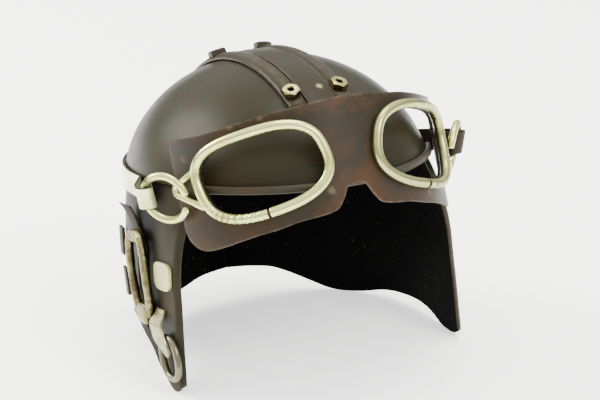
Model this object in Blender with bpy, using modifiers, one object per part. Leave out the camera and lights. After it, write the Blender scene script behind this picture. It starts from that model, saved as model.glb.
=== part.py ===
"""Flight helmet of sheet metal: domed crown, neck guard with ear flaps, and a bare goggle mask.

Metres, +Z up. The wearer looks along -Y, so the wearer's right is -X. Every piece is laid out
in the upright helmet's frame, whose zero is the middle of the dome's open edge, and an empty
then tips the whole helmet back until it stands on its flap tips and neck guard.
"""

import math

import bmesh
import bpy
from mathutils import Matrix, Vector

# Sheets and the clearance between touching pieces
SHEET_WALL = 0.0015
FIT_GAP = 0.0003
FACET_GAP = 0.0004
TRIM_GAP = 0.0006

# Dome: half an ellipsoid whose widest level lies below the open edge
DOME_HALF_WIDTH = 0.0900
DOME_HALF_LENGTH = 0.1107
DOME_RISE = 0.0773
DOME_LEVEL_DROP = 0.0148
BEAD_RADIUS = 0.0024
BEAD_SINK = 0.0009
BEAD_START_TURN = 118.0

# Crown trim
PANEL_HALF_WIDTH = 0.0090
RIB_HALF_WIDTH = 0.0056
RIB_HEIGHT = 0.0030
TRIM_FRONT_HEIGHT = 0.0400
TRIM_BACK_HEIGHT = 0.0040
NUT_ACROSS_FLATS = 0.0100
NUT_HEIGHT = 0.0040
NUT_BORE_RADIUS = 0.0017
NUT_SEAT_DEPTH = 0.0012
FRONT_NUT_Y = -0.0655
REAR_NUT_Y = 0.0370

# Neck guard
GUARD_DEPTH = 0.1233
GUARD_LAP = 0.0070
GUARD_WIDENING = 0.0094
NAPE_TUCK = 0.0240
FLAP_STRAIGHTENING = 0.4350
FLAP_REACH = 0.0472
FLAP_TOP_REACH = 0.0110
FLAP_TOP_DEPTH = 0.0360
FORWARD_STEP = 0.0018
FLANGE_WIDTH = 0.0054
FLANGE_FOLD = math.radians(50.0)
SEAM_GAP = 0.0004

# Goggle plate and rims
PLATE_SIDE_GAP = 0.0017
PLATE_HALF_LENGTH = 0.0945
PLATE_LEAN = 0.26
PLATE_HALF_SPAN = 0.1134
PLATE_TOP = 0.0495
RIM_WIRE = 0.0030
RIM_HALF_LENGTH = 0.0402
RIM_HALF_HEIGHT = 0.0225
RIM_CENTRE_ALONG = 0.0553
RIM_CENTRE_UP = 0.0113
RIM_TILT = math.radians(15.5)
RIM_SQUARENESS = 2.7
EYE_MARGIN = 0.0020
LOOP_WIRE = 0.0019
LOOP_ROOT = 0.0930
LOOP_POINT = 0.1130
LOOP_HEIGHT = 0.0000
LOOP_LOW_HEIGHT = -0.0080
LOOP_HIGH_HEIGHT = 0.0135
LOOP_SWEEP = math.radians(130.0)

# Jump rings and strap
RING_RADIUS = 0.0144
RING_WIRE = 0.0023
RING_BESIDE = 0.0072
RING_AHEAD = 0.0015
RING_BELOW = 0.0031
RING_SWING = math.radians(-54.0)
RING_LEAN = math.radians(14.0)
RING_OPEN_FROM = math.radians(-30.0)
RING_OPEN_TO = math.radians(12.0)
STRAP_WALL = 0.0012
STRAP_HALF_HEIGHT = 0.0070
STRAP_HEIGHT = -0.0052
STRAP_RETURN = 0.0110
STRAP_SEAT_TURN = 91.0

# Side fittings on each flap
EAR_LOOP_WIRE = 0.0026
EAR_LOOP_HALF_WIDTH = 0.0106
EAR_LOOP_HALF_HEIGHT = 0.0240
EAR_LOOP_TURN = 94.5
EAR_LOOP_HEIGHT = -0.0568
EAR_LOOP_SLANT = 5.0
EAR_STRAP_HALF_WIDTH = 0.0058
EAR_STRAP_TOP = -0.0185
EAR_STRAP_LENGTH = 0.0720
EAR_STRAP_TURN = 94.5
EAR_STRAP_SWING = 12.0
EAR_STRAP_EASE = 0.30
EAR_STRAP_DRIFT = 4.0
EAR_STRAP_SPRING = 0.0030
EAR_STRAP_TWIST = 0.0030
TAB_THICKNESS = 0.0020
REAR_TAB_TURN = 66.8
REAR_TAB_HALF_WIDTH = 0.0052
REAR_TAB_HALF_HEIGHT = 0.0085
REAR_TAB_PROUD = 0.0018
UPPER_TAB_HEIGHT = -0.0459
LOWER_TAB_HEIGHT = -0.0709
CLIP_TURN = 109.9
CLIP_HEIGHT = -0.0535
CLIP_HALF_WIDTH = 0.0102
CLIP_HALF_HEIGHT = 0.0082
BUCKLE_WIRE = 0.0021
BUCKLE_HALF_WIDTH = 0.0100
BUCKLE_HALF_HEIGHT = 0.0120
BUCKLE_TURN = 113.4
BUCKLE_HEIGHT = -0.1018
BUCKLE_TILT = 0.0010
BUCKLE_STRAP_LIFT = 0.0052

# Level of the guard's section: share of its depth, then shares of widening, tuck and straightening
GUARD_SECTIONS = [
    {"drop": 0.00, "widen": 0.00, "tuck": 0.00, "straighten": 0.00},
    {"drop": 0.15, "widen": 0.49, "tuck": -0.03, "straighten": 0.07},
    {"drop": 0.29, "widen": 0.77, "tuck": 0.06, "straighten": 0.18},
    {"drop": 0.44, "widen": 0.89, "tuck": 0.18, "straighten": 0.42},
    {"drop": 0.58, "widen": 0.89, "tuck": 0.36, "straighten": 0.63},
    {"drop": 0.73, "widen": 0.92, "tuck": 0.58, "straighten": 1.00},
    {"drop": 0.88, "widen": 0.96, "tuck": 0.82, "straighten": 1.00},
    {"drop": 1.00, "widen": 1.00, "tuck": 1.00, "straighten": 1.00},
]

# Lower edge of each half: share of the turn from the back seam to the flap's front, and of the depth
RIGHT_EDGE = [
    {"turn": 0.00, "drop": 0.722},
    {"turn": 0.10, "drop": 0.737},
    {"turn": 0.18, "drop": 0.766},
    {"turn": 0.27, "drop": 0.790},
    {"turn": 0.38, "drop": 0.795},
    {"turn": 0.50, "drop": 0.768},
    {"turn": 0.60, "drop": 0.728},
    {"turn": 0.68, "drop": 0.722},
    {"turn": 0.77, "drop": 0.787},
    {"turn": 0.82, "drop": 0.840},
    {"turn": 0.86, "drop": 0.905},
    {"turn": 0.91, "drop": 0.962},
    {"turn": 0.95, "drop": 0.998},
    {"turn": 0.98, "drop": 0.998},
    {"turn": 1.00, "drop": 0.980},
]
LEFT_EDGE = [
    {"turn": 0.00, "drop": 0.722},
    {"turn": 0.10, "drop": 0.737},
    {"turn": 0.17, "drop": 0.759},
    {"turn": 0.28, "drop": 0.839},
    {"turn": 0.33, "drop": 0.875},
    {"turn": 0.38, "drop": 0.894},
    {"turn": 0.46, "drop": 0.898},
    {"turn": 0.56, "drop": 0.883},
    {"turn": 0.64, "drop": 0.887},
    {"turn": 0.78, "drop": 0.913},
    {"turn": 0.84, "drop": 0.945},
    {"turn": 0.88, "drop": 0.980},
    {"turn": 0.93, "drop": 1.000},
    {"turn": 0.97, "drop": 0.998},
    {"turn": 1.00, "drop": 0.975},
]

# Goggle plate outline from the nose outward: shares of the half span and of the top height
PLATE_OUTLINE = [
    {"along": 0.000, "up": 0.00},
    {"along": 0.045, "up": -0.01},
    {"along": 0.085, "up": -0.15},
    {"along": 0.135, "up": -0.27},
    {"along": 0.340, "up": -0.36},
    {"along": 0.450, "up": -0.43},
    {"along": 0.560, "up": -0.49},
    {"along": 0.680, "up": -0.57},
    {"along": 0.780, "up": -0.64},
    {"along": 0.880, "up": -0.69},
    {"along": 0.950, "up": -0.66},
    {"along": 1.000, "up": -0.56},
    {"along": 1.015, "up": -0.40},
    {"along": 1.015, "up": 0.48},
    {"along": 0.995, "up": 0.56},
    {"along": 0.950, "up": 0.60},
    {"along": 0.870, "up": 0.63},
    {"along": 0.740, "up": 0.69},
    {"along": 0.560, "up": 0.80},
    {"along": 0.400, "up": 0.89},
    {"along": 0.230, "up": 0.95},
    {"along": 0.100, "up": 0.99},
    {"along": 0.000, "up": 1.00},
]

# Buckle strap from its upper end to its point: height, turn, half width and share of its climb
BUCKLE_STRAP = [
    {"height": -0.0745, "turn": 106.2, "half_width": 0.0050, "climb": 0.00},
    {"height": -0.0775, "turn": 106.0, "half_width": 0.0058, "climb": 0.15},
    {"height": -0.0805, "turn": 106.6, "half_width": 0.0064, "climb": 0.65},
    {"height": -0.0835, "turn": 107.9, "half_width": 0.0066, "climb": 1.00},
    {"height": -0.0870, "turn": 109.2, "half_width": 0.0066, "climb": 1.00},
    {"height": -0.0910, "turn": 110.6, "half_width": 0.0066, "climb": 1.00},
    {"height": -0.0950, "turn": 111.6, "half_width": 0.0060, "climb": 0.80},
    {"height": -0.0990, "turn": 112.4, "half_width": 0.0036, "climb": 0.55},
    {"height": -0.1015, "turn": 112.8, "half_width": 0.0014, "climb": 0.45},
]

# Counts of steps along the meshes
DOME_STEPS = 42
DOME_RINGS = 10
BEAD_STEPS = 24
TRIM_STEPS = 20
GUARD_COLUMNS = 22
GUARD_ROWS = 7
RIM_STEPS = 30
RING_STEPS = 22
PLATE_CUTS = 20
STRAP_STEPS = 40
LOOP_STEPS = 20
FOLD_STEPS = 8
LOOP_BENDS = 6

FLAP_TURN = 90.0 + FLAP_REACH / FORWARD_STEP
SIDES = {"right": -1.0, "left": 1.0}


# Scene and material helpers

def clear_scene():
    for old in list(bpy.data.objects):
        bpy.data.objects.remove(old, do_unlink=True)


def make_collection(name):
    collection = bpy.data.collections.new(name)
    bpy.context.scene.collection.children.link(collection)
    return collection


def make_material(name, colour, roughness, metallic):
    material = bpy.data.materials.new(name)
    material.use_nodes = True
    shader = material.node_tree.nodes["Principled BSDF"]
    shader.inputs["Base Color"].default_value = (*colour, 1.0)
    shader.inputs["Roughness"].default_value = roughness
    shader.inputs["Metallic"].default_value = metallic
    return material


def dark_sheet(name):
    return make_material(name, (0.075, 0.066, 0.050), 0.42, 0.85)


def mask_sheet(name):
    return make_material(name, (0.085, 0.062, 0.048), 0.45, 0.80)


def pale_brass(name):
    return make_material(name, (0.72, 0.73, 0.50), 0.30, 0.90)


def brown_strip(name):
    return make_material(name, (0.070, 0.045, 0.032), 0.55, 0.60)


def add_object(name, mesh, material):
    """Object of this mesh in the helmet's collection, with one material."""
    mesh.name = name
    mesh.materials.clear()
    mesh.materials.append(material)
    mesh.shade_smooth()
    mesh.set_sharp_from_angle(angle=math.radians(35.0))
    made = bpy.data.objects.new(name, mesh)
    HELMET.objects.link(made)
    return made


def evaluated_mesh(source):
    """Mesh of an object with its modifiers or curve bevel applied, doubles welded."""
    bpy.context.view_layer.update()
    graph = bpy.context.evaluated_depsgraph_get()
    mesh = bpy.data.meshes.new_from_object(source.evaluated_get(graph))
    mesh.transform(source.matrix_world)
    shape = bmesh.new()
    shape.from_mesh(mesh)
    bmesh.ops.remove_doubles(shape, verts=shape.verts, dist=0.00002)
    bmesh.ops.recalc_face_normals(shape, faces=shape.faces)
    shape.to_mesh(mesh)
    shape.free()
    return mesh


def take_mesh(source):
    """Evaluated mesh of a helper object, which is then removed."""
    mesh = evaluated_mesh(source)
    bpy.data.objects.remove(source, do_unlink=True)
    return mesh


def helper_object(name, data):
    made = bpy.data.objects.new(name, data)
    made.hide_render = True
    made.display_type = "WIRE"
    CUTTERS.objects.link(made)
    return made


def wire_mesh(name, points, radius, closed=False, resolution=2):
    """Round wire through the points, as a mesh with its end caps welded on."""
    curve = bpy.data.curves.new(name, "CURVE")
    curve.dimensions = "3D"
    curve.bevel_depth = radius
    curve.bevel_resolution = resolution
    curve.use_fill_caps = True
    spline = curve.splines.new("POLY")
    spline.points.add(len(points) - 1)
    for knot, point in zip(spline.points, points):
        knot.co = (*point, 1.0)
    spline.use_cyclic_u = closed
    return take_mesh(helper_object(name, curve))


def grid_mesh(name, grid):
    """Open quad sheet through a grid of points given row by row."""
    columns = len(grid[0])
    vertices = [tuple(point) for row in grid for point in row]
    faces = []
    for row in range(len(grid) - 1):
        for column in range(columns - 1):
            corner = row * columns + column
            faces.append((corner, corner + 1, corner + columns + 1, corner + columns))
    mesh = bpy.data.meshes.new(name)
    mesh.from_pydata(vertices, [], faces)
    return mesh


def add_sheet(name, grid, wall, material, side=-1.0, offset=-1.0):
    """Sheet piece: an open grid given a wall, mirrored columns on the left side."""
    ordered = [list(reversed(row)) for row in grid] if side > 0 else grid
    made = add_object(name, grid_mesh(name, ordered), material)
    solid = made.modifiers.new("Wall", "SOLIDIFY")
    solid.thickness = wall
    solid.offset = offset
    solid.use_even_offset = True
    return made


def boolean(target, tool, operation):
    cut = target.modifiers.new(operation.title(), "BOOLEAN")
    cut.operation = operation
    cut.object = tool
    return cut


def smooth_share(table, key, column, at):
    """Value of a table's column at a key, eased between rows so the outline has no corners."""
    rows = [(row[key], row[column]) for row in table]
    if at <= rows[0][0]:
        return rows[0][1]
    for index in range(len(rows) - 1):
        (start, low), (end, high) = rows[index], rows[index + 1]
        if at <= end:
            before = rows[max(index - 1, 0)]
            after = rows[min(index + 2, len(rows) - 1)]
            span = end - start
            t = (at - start) / span
            slope_in = (high - before[1]) / (end - before[0]) * span
            slope_out = (after[1] - low) / (after[0] - start) * span
            return (
                (2 * t ** 3 - 3 * t ** 2 + 1) * low
                + (t ** 3 - 2 * t ** 2 + t) * slope_in
                + (3 * t ** 2 - 2 * t ** 3) * high
                + (t ** 3 - t ** 2) * slope_out
            )
    return rows[-1][1]


# Dome

def dome_share(height):
    """Share of the dome's half width and half length at a height over its open edge."""
    return math.sqrt(1.0 - ((height + DOME_LEVEL_DROP) / DOME_RISE) ** 2)


def dome_point(across, along):
    """Point of the dome's outer face over a place in plan."""
    height = math.sqrt(1.0 - (across / DOME_HALF_WIDTH) ** 2 - (along / DOME_HALF_LENGTH) ** 2)
    return Vector((across, along, DOME_RISE * height - DOME_LEVEL_DROP))


def dome_normal(point):
    return Vector((
        point.x / DOME_HALF_WIDTH ** 2,
        point.y / DOME_HALF_LENGTH ** 2,
        (point.z + DOME_LEVEL_DROP) / DOME_RISE ** 2,
    )).normalized()


def edge_point(turn, outward=0.0):
    """Point of the dome's open edge at a turn from the back, moved outward in plan."""
    angle = math.radians(turn)
    wide = DOME_HALF_WIDTH * dome_share(0.0)
    long = DOME_HALF_LENGTH * dome_share(0.0)
    out = Vector((math.sin(angle) / wide, math.cos(angle) / long, 0.0)).normalized()
    return Vector((wide * math.sin(angle), long * math.cos(angle), 0.0)) + out * outward


def crown_shell():
    """Dome turned from its outer profile, drawn out lengthwise, with the front bead joined on."""
    start = math.asin(DOME_LEVEL_DROP / DOME_RISE)
    profile = bpy.data.meshes.new("crown_profile")
    points = []
    for ring in range(DOME_RINGS + 1):
        angle = math.radians(90.0) + (start - math.radians(90.0)) * ring / DOME_RINGS
        radius = DOME_HALF_WIDTH * math.cos(angle) if ring else 0.0
        points.append((radius, 0.0, DOME_RISE * math.sin(angle) - DOME_LEVEL_DROP))
    profile.from_pydata(points, [(i, i + 1) for i in range(DOME_RINGS)], [])
    turned = helper_object("crown_profile", profile)
    screw = turned.modifiers.new("Turn", "SCREW")
    screw.steps = DOME_STEPS
    screw.render_steps = DOME_STEPS
    screw.use_merge_vertices = True
    screw.merge_threshold = 0.00001
    dome = take_mesh(turned)
    dome.transform(Matrix.Diagonal((1.0, DOME_HALF_LENGTH / DOME_HALF_WIDTH, 1.0, 1.0)))
    shell = add_object("crown_shell", dome, dark_sheet("crown_metal"))
    wall = shell.modifiers.new("Wall", "SOLIDIFY")
    wall.thickness = SHEET_WALL
    wall.offset = -1.0
    wall.use_even_offset = True
    outward = BEAD_RADIUS - BEAD_SINK
    sweep = 360.0 - 2.0 * BEAD_START_TURN
    route = [edge_point(BEAD_START_TURN + sweep * i / BEAD_STEPS, outward) for i in range(BEAD_STEPS + 1)]
    bead = helper_object("front_bead", wire_mesh("front_bead_wire", route, BEAD_RADIUS))
    boolean(shell, bead, "UNION")
    return shell


# Crown trim

def trim_route(across, lift):
    """Points over the dome from front to back, a fixed distance to one side of its middle."""
    narrowed = math.sqrt(1.0 - (across / DOME_HALF_WIDTH) ** 2)
    front = math.asin((TRIM_FRONT_HEIGHT + DOME_LEVEL_DROP) / (DOME_RISE * narrowed))
    back = math.pi - math.asin((TRIM_BACK_HEIGHT + DOME_LEVEL_DROP) / (DOME_RISE * narrowed))
    route = []
    for step in range(TRIM_STEPS + 1):
        angle = front + (back - front) * step / TRIM_STEPS
        point = Vector((
            across,
            -DOME_HALF_LENGTH * narrowed * math.cos(angle),
            DOME_RISE * narrowed * math.sin(angle) - DOME_LEVEL_DROP,
        ))
        route.append(point + dome_normal(point) * lift)
    return route


def crown_panel():
    """Flat band of sheet from front to back over the middle of the dome."""
    shares = (-1.0, -0.5, 0.0, 0.5, 1.0)
    columns = [trim_route(share * PANEL_HALF_WIDTH, TRIM_GAP + SHEET_WALL) for share in shares]
    grid = [list(row) for row in zip(*columns)]
    add_sheet("crown_panel", grid, SHEET_WALL, dark_sheet("panel_metal"))


def rib_grid(middle):
    """Closed half round section carried over the dome along one rib."""
    base = trim_route(middle, TRIM_GAP)
    grid = []
    for step, point in enumerate(base):
        ahead = base[min(step + 1, TRIM_STEPS)]
        behind = base[max(step - 1, 0)]
        along = (ahead - behind).normalized()
        up = dome_normal(point)
        across = up.cross(along).normalized()
        up = along.cross(across).normalized()
        row = []
        for part in range(9):
            angle = math.pi * part / 8
            row.append(point + across * RIB_HALF_WIDTH * math.cos(angle) + up * RIB_HEIGHT * math.sin(angle))
        grid.append(row)
    return grid


def crown_rib(name, side):
    """Half round rib beside the panel, with a flat seat cut for each nut."""
    middle = side * (PANEL_HALF_WIDTH + FIT_GAP + RIB_HALF_WIDTH)
    grid = rib_grid(middle)
    shape = bmesh.new()
    rows = [[shape.verts.new(point) for point in row] for row in grid]
    for low, high in zip(rows, rows[1:]):
        count = len(low)
        for i in range(count):
            j = (i + 1) % count
            shape.faces.new((low[i], low[j], high[j], high[i]))
    shape.faces.new(rows[0])
    shape.faces.new(list(reversed(rows[-1])))
    bmesh.ops.recalc_face_normals(shape, faces=shape.faces)
    mesh = bpy.data.meshes.new(name)
    shape.to_mesh(mesh)
    shape.free()
    rib = add_object(name, mesh, dark_sheet(name + "_metal"))
    for along in (FRONT_NUT_Y, REAR_NUT_Y):
        frame = nut_frame(middle, along)
        radius = NUT_ACROSS_FLATS / math.sqrt(3.0) + 2.0 * FIT_GAP
        depth = 4.0 * RIB_HEIGHT
        mesh = drum_mesh("nut_seat", 20, radius, depth, frame @ Matrix.Translation((0, 0, depth / 2)))
        boolean(rib, helper_object("nut_seat", mesh), "DIFFERENCE")


def nut_frame(across, along):
    """Frame of a nut's seat: its zero on the seat, its Z along the dome's normal."""
    point = dome_point(across, along)
    up = dome_normal(point)
    turn = up.to_track_quat("Z", "Y").to_matrix().to_4x4()
    seat = point + up * (TRIM_GAP + RIB_HEIGHT - NUT_SEAT_DEPTH)
    return Matrix.Translation(seat) @ turn


def drum_mesh(name, sides, radius, height, frame):
    shape = bmesh.new()
    bmesh.ops.create_cone(
        shape, cap_ends=True, segments=sides, radius1=radius, radius2=radius, depth=height, matrix=frame
    )
    mesh = bpy.data.meshes.new(name)
    shape.to_mesh(mesh)
    shape.free()
    return mesh


def crown_nut(name, side, along):
    """Hexagon nut standing on its seat in a rib."""
    frame = nut_frame(side * (PANEL_HALF_WIDTH + FIT_GAP + RIB_HALF_WIDTH), along)
    lifted = frame @ Matrix.Translation((0.0, 0.0, FIT_GAP + NUT_HEIGHT / 2.0))
    nut = add_object(
        name,
        drum_mesh(name, 6, NUT_ACROSS_FLATS / math.sqrt(3.0), NUT_HEIGHT, lifted),
        pale_brass(name + "_metal"),
    )
    bore = drum_mesh(name + "_bore", 16, NUT_BORE_RADIUS, 3.0 * NUT_HEIGHT, lifted)
    boolean(nut, helper_object(name + "_bore", bore), "DIFFERENCE")


# Neck guard

def guard_section(height):
    """Side, back and front half lengths of the guard's outer face at a height."""
    lap = max(height, 0.0)
    inset = SHEET_WALL + FIT_GAP + FACET_GAP
    side = DOME_HALF_WIDTH * dome_share(lap)
    back = DOME_HALF_LENGTH * dome_share(lap)
    side -= inset / dome_normal(Vector((side, 0.0, lap))).x
    back -= inset / dome_normal(Vector((0.0, back, lap))).y
    drop = max(0.0, -height / GUARD_DEPTH)
    front = back + FLAP_STRAIGHTENING * smooth_share(GUARD_SECTIONS, "drop", "straighten", drop)
    back -= NAPE_TUCK * smooth_share(GUARD_SECTIONS, "drop", "tuck", drop)
    side += GUARD_WIDENING * smooth_share(GUARD_SECTIONS, "drop", "widen", drop)
    return side, back, front


def guard_plan(turn, height):
    """Point of the guard's outer face on the left side: degrees from the back, then forward steps."""
    side, back, front = guard_section(height)
    if turn <= 90.0:
        angle = math.radians(turn)
        return Vector((side * math.sin(angle), back * math.cos(angle), height))
    along = -(turn - 90.0) * FORWARD_STEP
    return Vector((side * math.sqrt(1.0 - (along / front) ** 2), along, height))


def guard_point(turn, height, lift=0.0, side=1.0):
    """Point over the guard's outer face at one side, lifted along the face's normal."""
    point = guard_plan(turn, height)
    if lift:
        step = 0.5
        along = guard_plan(turn + step, height) - guard_plan(turn - step, height)
        down = guard_plan(turn, height - FORWARD_STEP) - guard_plan(turn, height + FORWARD_STEP)
        point = point + along.cross(down).normalized() * lift
    return Vector((point.x * side, point.y, point.z))


def flap_turn(turn, height):
    """Turn of a place on the flap, carried further forward near the dome, under the goggle plate."""
    ahead = max(0.0, (turn - 90.0) / (FLAP_TURN - 90.0))
    near_top = max(0.0, 1.0 + min(height, 0.0) / FLAP_TOP_DEPTH)
    return turn + FLAP_TOP_REACH / FORWARD_STEP * ahead ** 2 * near_top ** 2


def guard_half(name, side, edge):
    """One half of the guard: nape, side and ear flap in one sheet, its front edge folded inward."""
    columns = []
    for column in range(GUARD_COLUMNS + 1):
        share = column / GUARD_COLUMNS
        share = share + 0.06 * math.sin(2.0 * math.pi * share) / math.pi
        turn = FLAP_TURN * share
        bottom = -GUARD_DEPTH * smooth_share(edge, "turn", "drop", share)
        heights = [GUARD_LAP] + [bottom * row / (GUARD_ROWS - 1) for row in range(GUARD_ROWS)]
        columns.append([guard_point(flap_turn(turn, height), height) for height in heights])
    last = list(columns[-1])
    for reach, fold, rise in ((0.25, 0.45, 0.12), (1.0, 1.0, 0.45)):
        folded = []
        for row, point in enumerate(last):
            front = flap_turn(FLAP_TURN, point.z)
            ahead = (guard_plan(front, point.z) - guard_plan(front - 1.0, point.z)).normalized()
            turned = Matrix.Rotation(-FLANGE_FOLD * fold, 3, "Z") @ ahead
            shift = turned * FLANGE_WIDTH * reach
            lift_up = rise * FLANGE_WIDTH * (row / GUARD_ROWS) ** 4
            folded.append(point + shift + Vector((0.0, 0.0, lift_up)))
        columns.append(folded)
    for point in columns[0]:
        point.x = SEAM_GAP / 2.0
    grid = [[Vector((side * point.x, point.y, point.z)) for point in row] for row in zip(*columns)]
    add_sheet(name, grid, SHEET_WALL, dark_sheet(name + "_metal"), side=-side)


# Goggle plate and rims

def plate_front():
    """Distance in front of the middle at which the plate's outer face meets the level of the edge."""
    slope = math.hypot(1.0, PLATE_LEAN)
    bead = DOME_HALF_LENGTH * dome_share(0.0) + BEAD_RADIUS - BEAD_SINK
    return bead + (BEAD_RADIUS + FIT_GAP + SHEET_WALL) * slope


def plate_half_width():
    """Half width of the plate's bend, outside the dome's open edge at its widest."""
    return DOME_HALF_WIDTH * dome_share(0.0) + PLATE_SIDE_GAP


def plate_angles(count=720):
    """Lengths along the plate's plan from the nose, with the plan angle reached."""
    table = [(0.0, 0.0)]
    length = 0.0
    last = Vector((0.0, -PLATE_HALF_LENGTH))
    for step in range(1, count + 1):
        angle = math.radians(120.0) * step / count
        here = Vector((plate_half_width() * math.sin(angle), -PLATE_HALF_LENGTH * math.cos(angle)))
        length += (here - last).length
        last = here
        table.append((length, angle))
    return table


def plate_point(along, up, lift=0.0):
    """Point of the plate's outer face from its flat pattern, lifted along the face's normal."""
    reach = abs(along)
    low = 0
    high = len(PLATE_TABLE) - 1
    while high - low > 1:
        middle = (low + high) // 2
        if PLATE_TABLE[middle][0] <= reach:
            low = middle
        else:
            high = middle
    (start, first), (end, second) = PLATE_TABLE[low], PLATE_TABLE[high]
    angle = first + (second - first) * (reach - start) / (end - start)
    sign = math.copysign(1.0, along)
    centre = PLATE_HALF_LENGTH - plate_front()
    point = Vector((
        sign * plate_half_width() * math.sin(angle),
        centre - PLATE_HALF_LENGTH * math.cos(angle) + PLATE_LEAN * up,
        up,
    ))
    level = Vector((sign * math.sin(angle) / plate_half_width(), -math.cos(angle) / PLATE_HALF_LENGTH))
    normal = Vector((level.x, level.y, -PLATE_LEAN * level.y)).normalized()
    return point + normal * lift


def rim_outline(side, inward=0.0, steps=RIM_STEPS):
    """Flat outline of one goggle: a tilted, squared oval, drawn smaller by a margin."""
    outline = []
    for step in range(steps):
        angle = 2.0 * math.pi * step / steps
        c, s = math.cos(angle), math.sin(angle)
        u = math.copysign(abs(c) ** (2.0 / RIM_SQUARENESS), c) * (RIM_HALF_LENGTH - inward)
        v = math.copysign(abs(s) ** (2.0 / RIM_SQUARENESS), s) * (RIM_HALF_HEIGHT - inward)
        along = RIM_CENTRE_ALONG + u * math.cos(RIM_TILT) + v * math.sin(RIM_TILT)
        up = RIM_CENTRE_UP - u * math.sin(RIM_TILT) + v * math.cos(RIM_TILT)
        outline.append((side * along, up))
    return outline


def flat_pattern(name, outlines, thickness):
    """Filled flat curve with holes, cut into narrow strips so that it can be bent."""
    curve = bpy.data.curves.new(name, "CURVE")
    curve.dimensions = "2D"
    curve.fill_mode = "BOTH"
    curve.extrude = thickness / 2.0
    for outline in outlines:
        spline = curve.splines.new("POLY")
        spline.points.add(len(outline) - 1)
        for knot, (x, y) in zip(spline.points, outline):
            knot.co = (x, y, 0.0, 1.0)
        spline.use_cyclic_u = True
    return take_mesh(helper_object(name, curve))


def bent(mesh, cuts, place):
    """Bend a flat pattern: cut it across at each station, then move every corner to its place."""
    shape = bmesh.new()
    shape.from_mesh(mesh)
    for station in cuts:
        bmesh.ops.bisect_plane(
            shape,
            geom=shape.verts[:] + shape.edges[:] + shape.faces[:],
            plane_co=(station, 0.0, 0.0),
            plane_no=(1.0, 0.0, 0.0),
            dist=0.00001,
        )
    for corner in shape.verts:
        corner.co = place(corner.co)
    bmesh.ops.recalc_face_normals(shape, faces=shape.faces)
    shape.to_mesh(mesh)
    shape.free()
    return mesh


def goggle_plate():
    """Mask across the brow with a nose notch and two eye openings, bent round the face."""
    half = [(row["along"] * PLATE_HALF_SPAN, row["up"] * PLATE_TOP) for row in PLATE_OUTLINE]
    other = [(-along, up) for along, up in reversed(half[1:-1])]
    outlines = [half + other]
    outlines += [rim_outline(side, EYE_MARGIN) for side in SIDES.values()]
    flat = flat_pattern("plate_pattern", outlines, SHEET_WALL)
    cuts = [PLATE_HALF_SPAN * (2.0 * i / PLATE_CUTS - 1.0) for i in range(1, PLATE_CUTS)]
    mesh = bent(flat, cuts, lambda co: plate_point(co.x, co.y, co.z - SHEET_WALL / 2.0))
    add_object("goggle_plate", mesh, mask_sheet("plate_metal"))


def loop_outline(side):
    """Flat route of the side loop: from low on the rim out to its rounded point and back up."""
    bend = 1.6 * LOOP_WIRE
    centre = (LOOP_POINT - bend, LOOP_HEIGHT)
    route = [(LOOP_ROOT, LOOP_LOW_HEIGHT)]
    for step in range(LOOP_BENDS + 1):
        angle = LOOP_SWEEP * (step / LOOP_BENDS - 0.5)
        route.append((centre[0] + bend * math.cos(angle), centre[1] + bend * math.sin(angle)))
    route.append((LOOP_ROOT, LOOP_HIGH_HEIGHT))
    return [(side * along, up) for along, up in route]


def goggle_rim(name, side):
    """Wire rim of one goggle with its triangular side loop brazed on."""
    lift = FIT_GAP + RIM_WIRE
    route = [plate_point(along, up, lift) for along, up in rim_outline(side)]
    rim = add_object(name, wire_mesh(name, route, RIM_WIRE, closed=True), pale_brass(name + "_metal"))
    side_route = [plate_point(along, up, lift) for along, up in loop_outline(side)]
    loop = helper_object(name + "_loop", wire_mesh(name + "_loop_wire", side_route, LOOP_WIRE))
    boolean(rim, loop, "UNION")


# Jump rings and strap

def ring_frame(side):
    """Middle of a jump ring, its level axis toward the goggle, and its rising axis."""
    hook = plate_point(side * LOOP_POINT, LOOP_HEIGHT, FIT_GAP + RIM_WIRE)
    middle = hook + Vector((side * RING_BESIDE, -RING_AHEAD, -RING_BELOW))
    level = Vector((-side * math.cos(RING_SWING), math.sin(RING_SWING), 0.0))
    outward = Vector((-side * math.sin(RING_SWING), -math.cos(RING_SWING), 0.0))
    rising = Vector((0.0, 0.0, 1.0)) * math.cos(RING_LEAN) + outward * math.sin(RING_LEAN)
    return middle, level, rising


def jump_ring(name, side):
    """Open round ring that hangs in the goggle's side loop and carries the strap's fold."""
    middle, level, rising = ring_frame(side)
    sweep = 2.0 * math.pi - (RING_OPEN_TO - RING_OPEN_FROM)
    route = []
    for step in range(RING_STEPS + 1):
        angle = RING_OPEN_TO + sweep * step / RING_STEPS
        route.append(middle + (level * math.cos(angle) + rising * math.sin(angle)) * RING_RADIUS)
    add_object(name, wire_mesh(name, route, RING_WIRE), pale_brass(name + "_metal"))


def strap_edges(turn):
    """Upper and lower edge of the strap where it lies against the dome's edge and the guard."""
    side = math.copysign(1.0, turn)
    outward = FIT_GAP + FACET_GAP + STRAP_WALL / 2.0
    upper = edge_point(abs(turn), outward)
    low = STRAP_HEIGHT - STRAP_HALF_HEIGHT
    lower = guard_point(abs(turn), low, outward)
    if lower.xy.length < upper.xy.length:
        lower = upper.copy()
    lower.z = low
    upper.z = STRAP_HEIGHT + STRAP_HALF_HEIGHT
    return [Vector((side * point.x, point.y, point.z)) for point in (upper, lower)]


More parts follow.
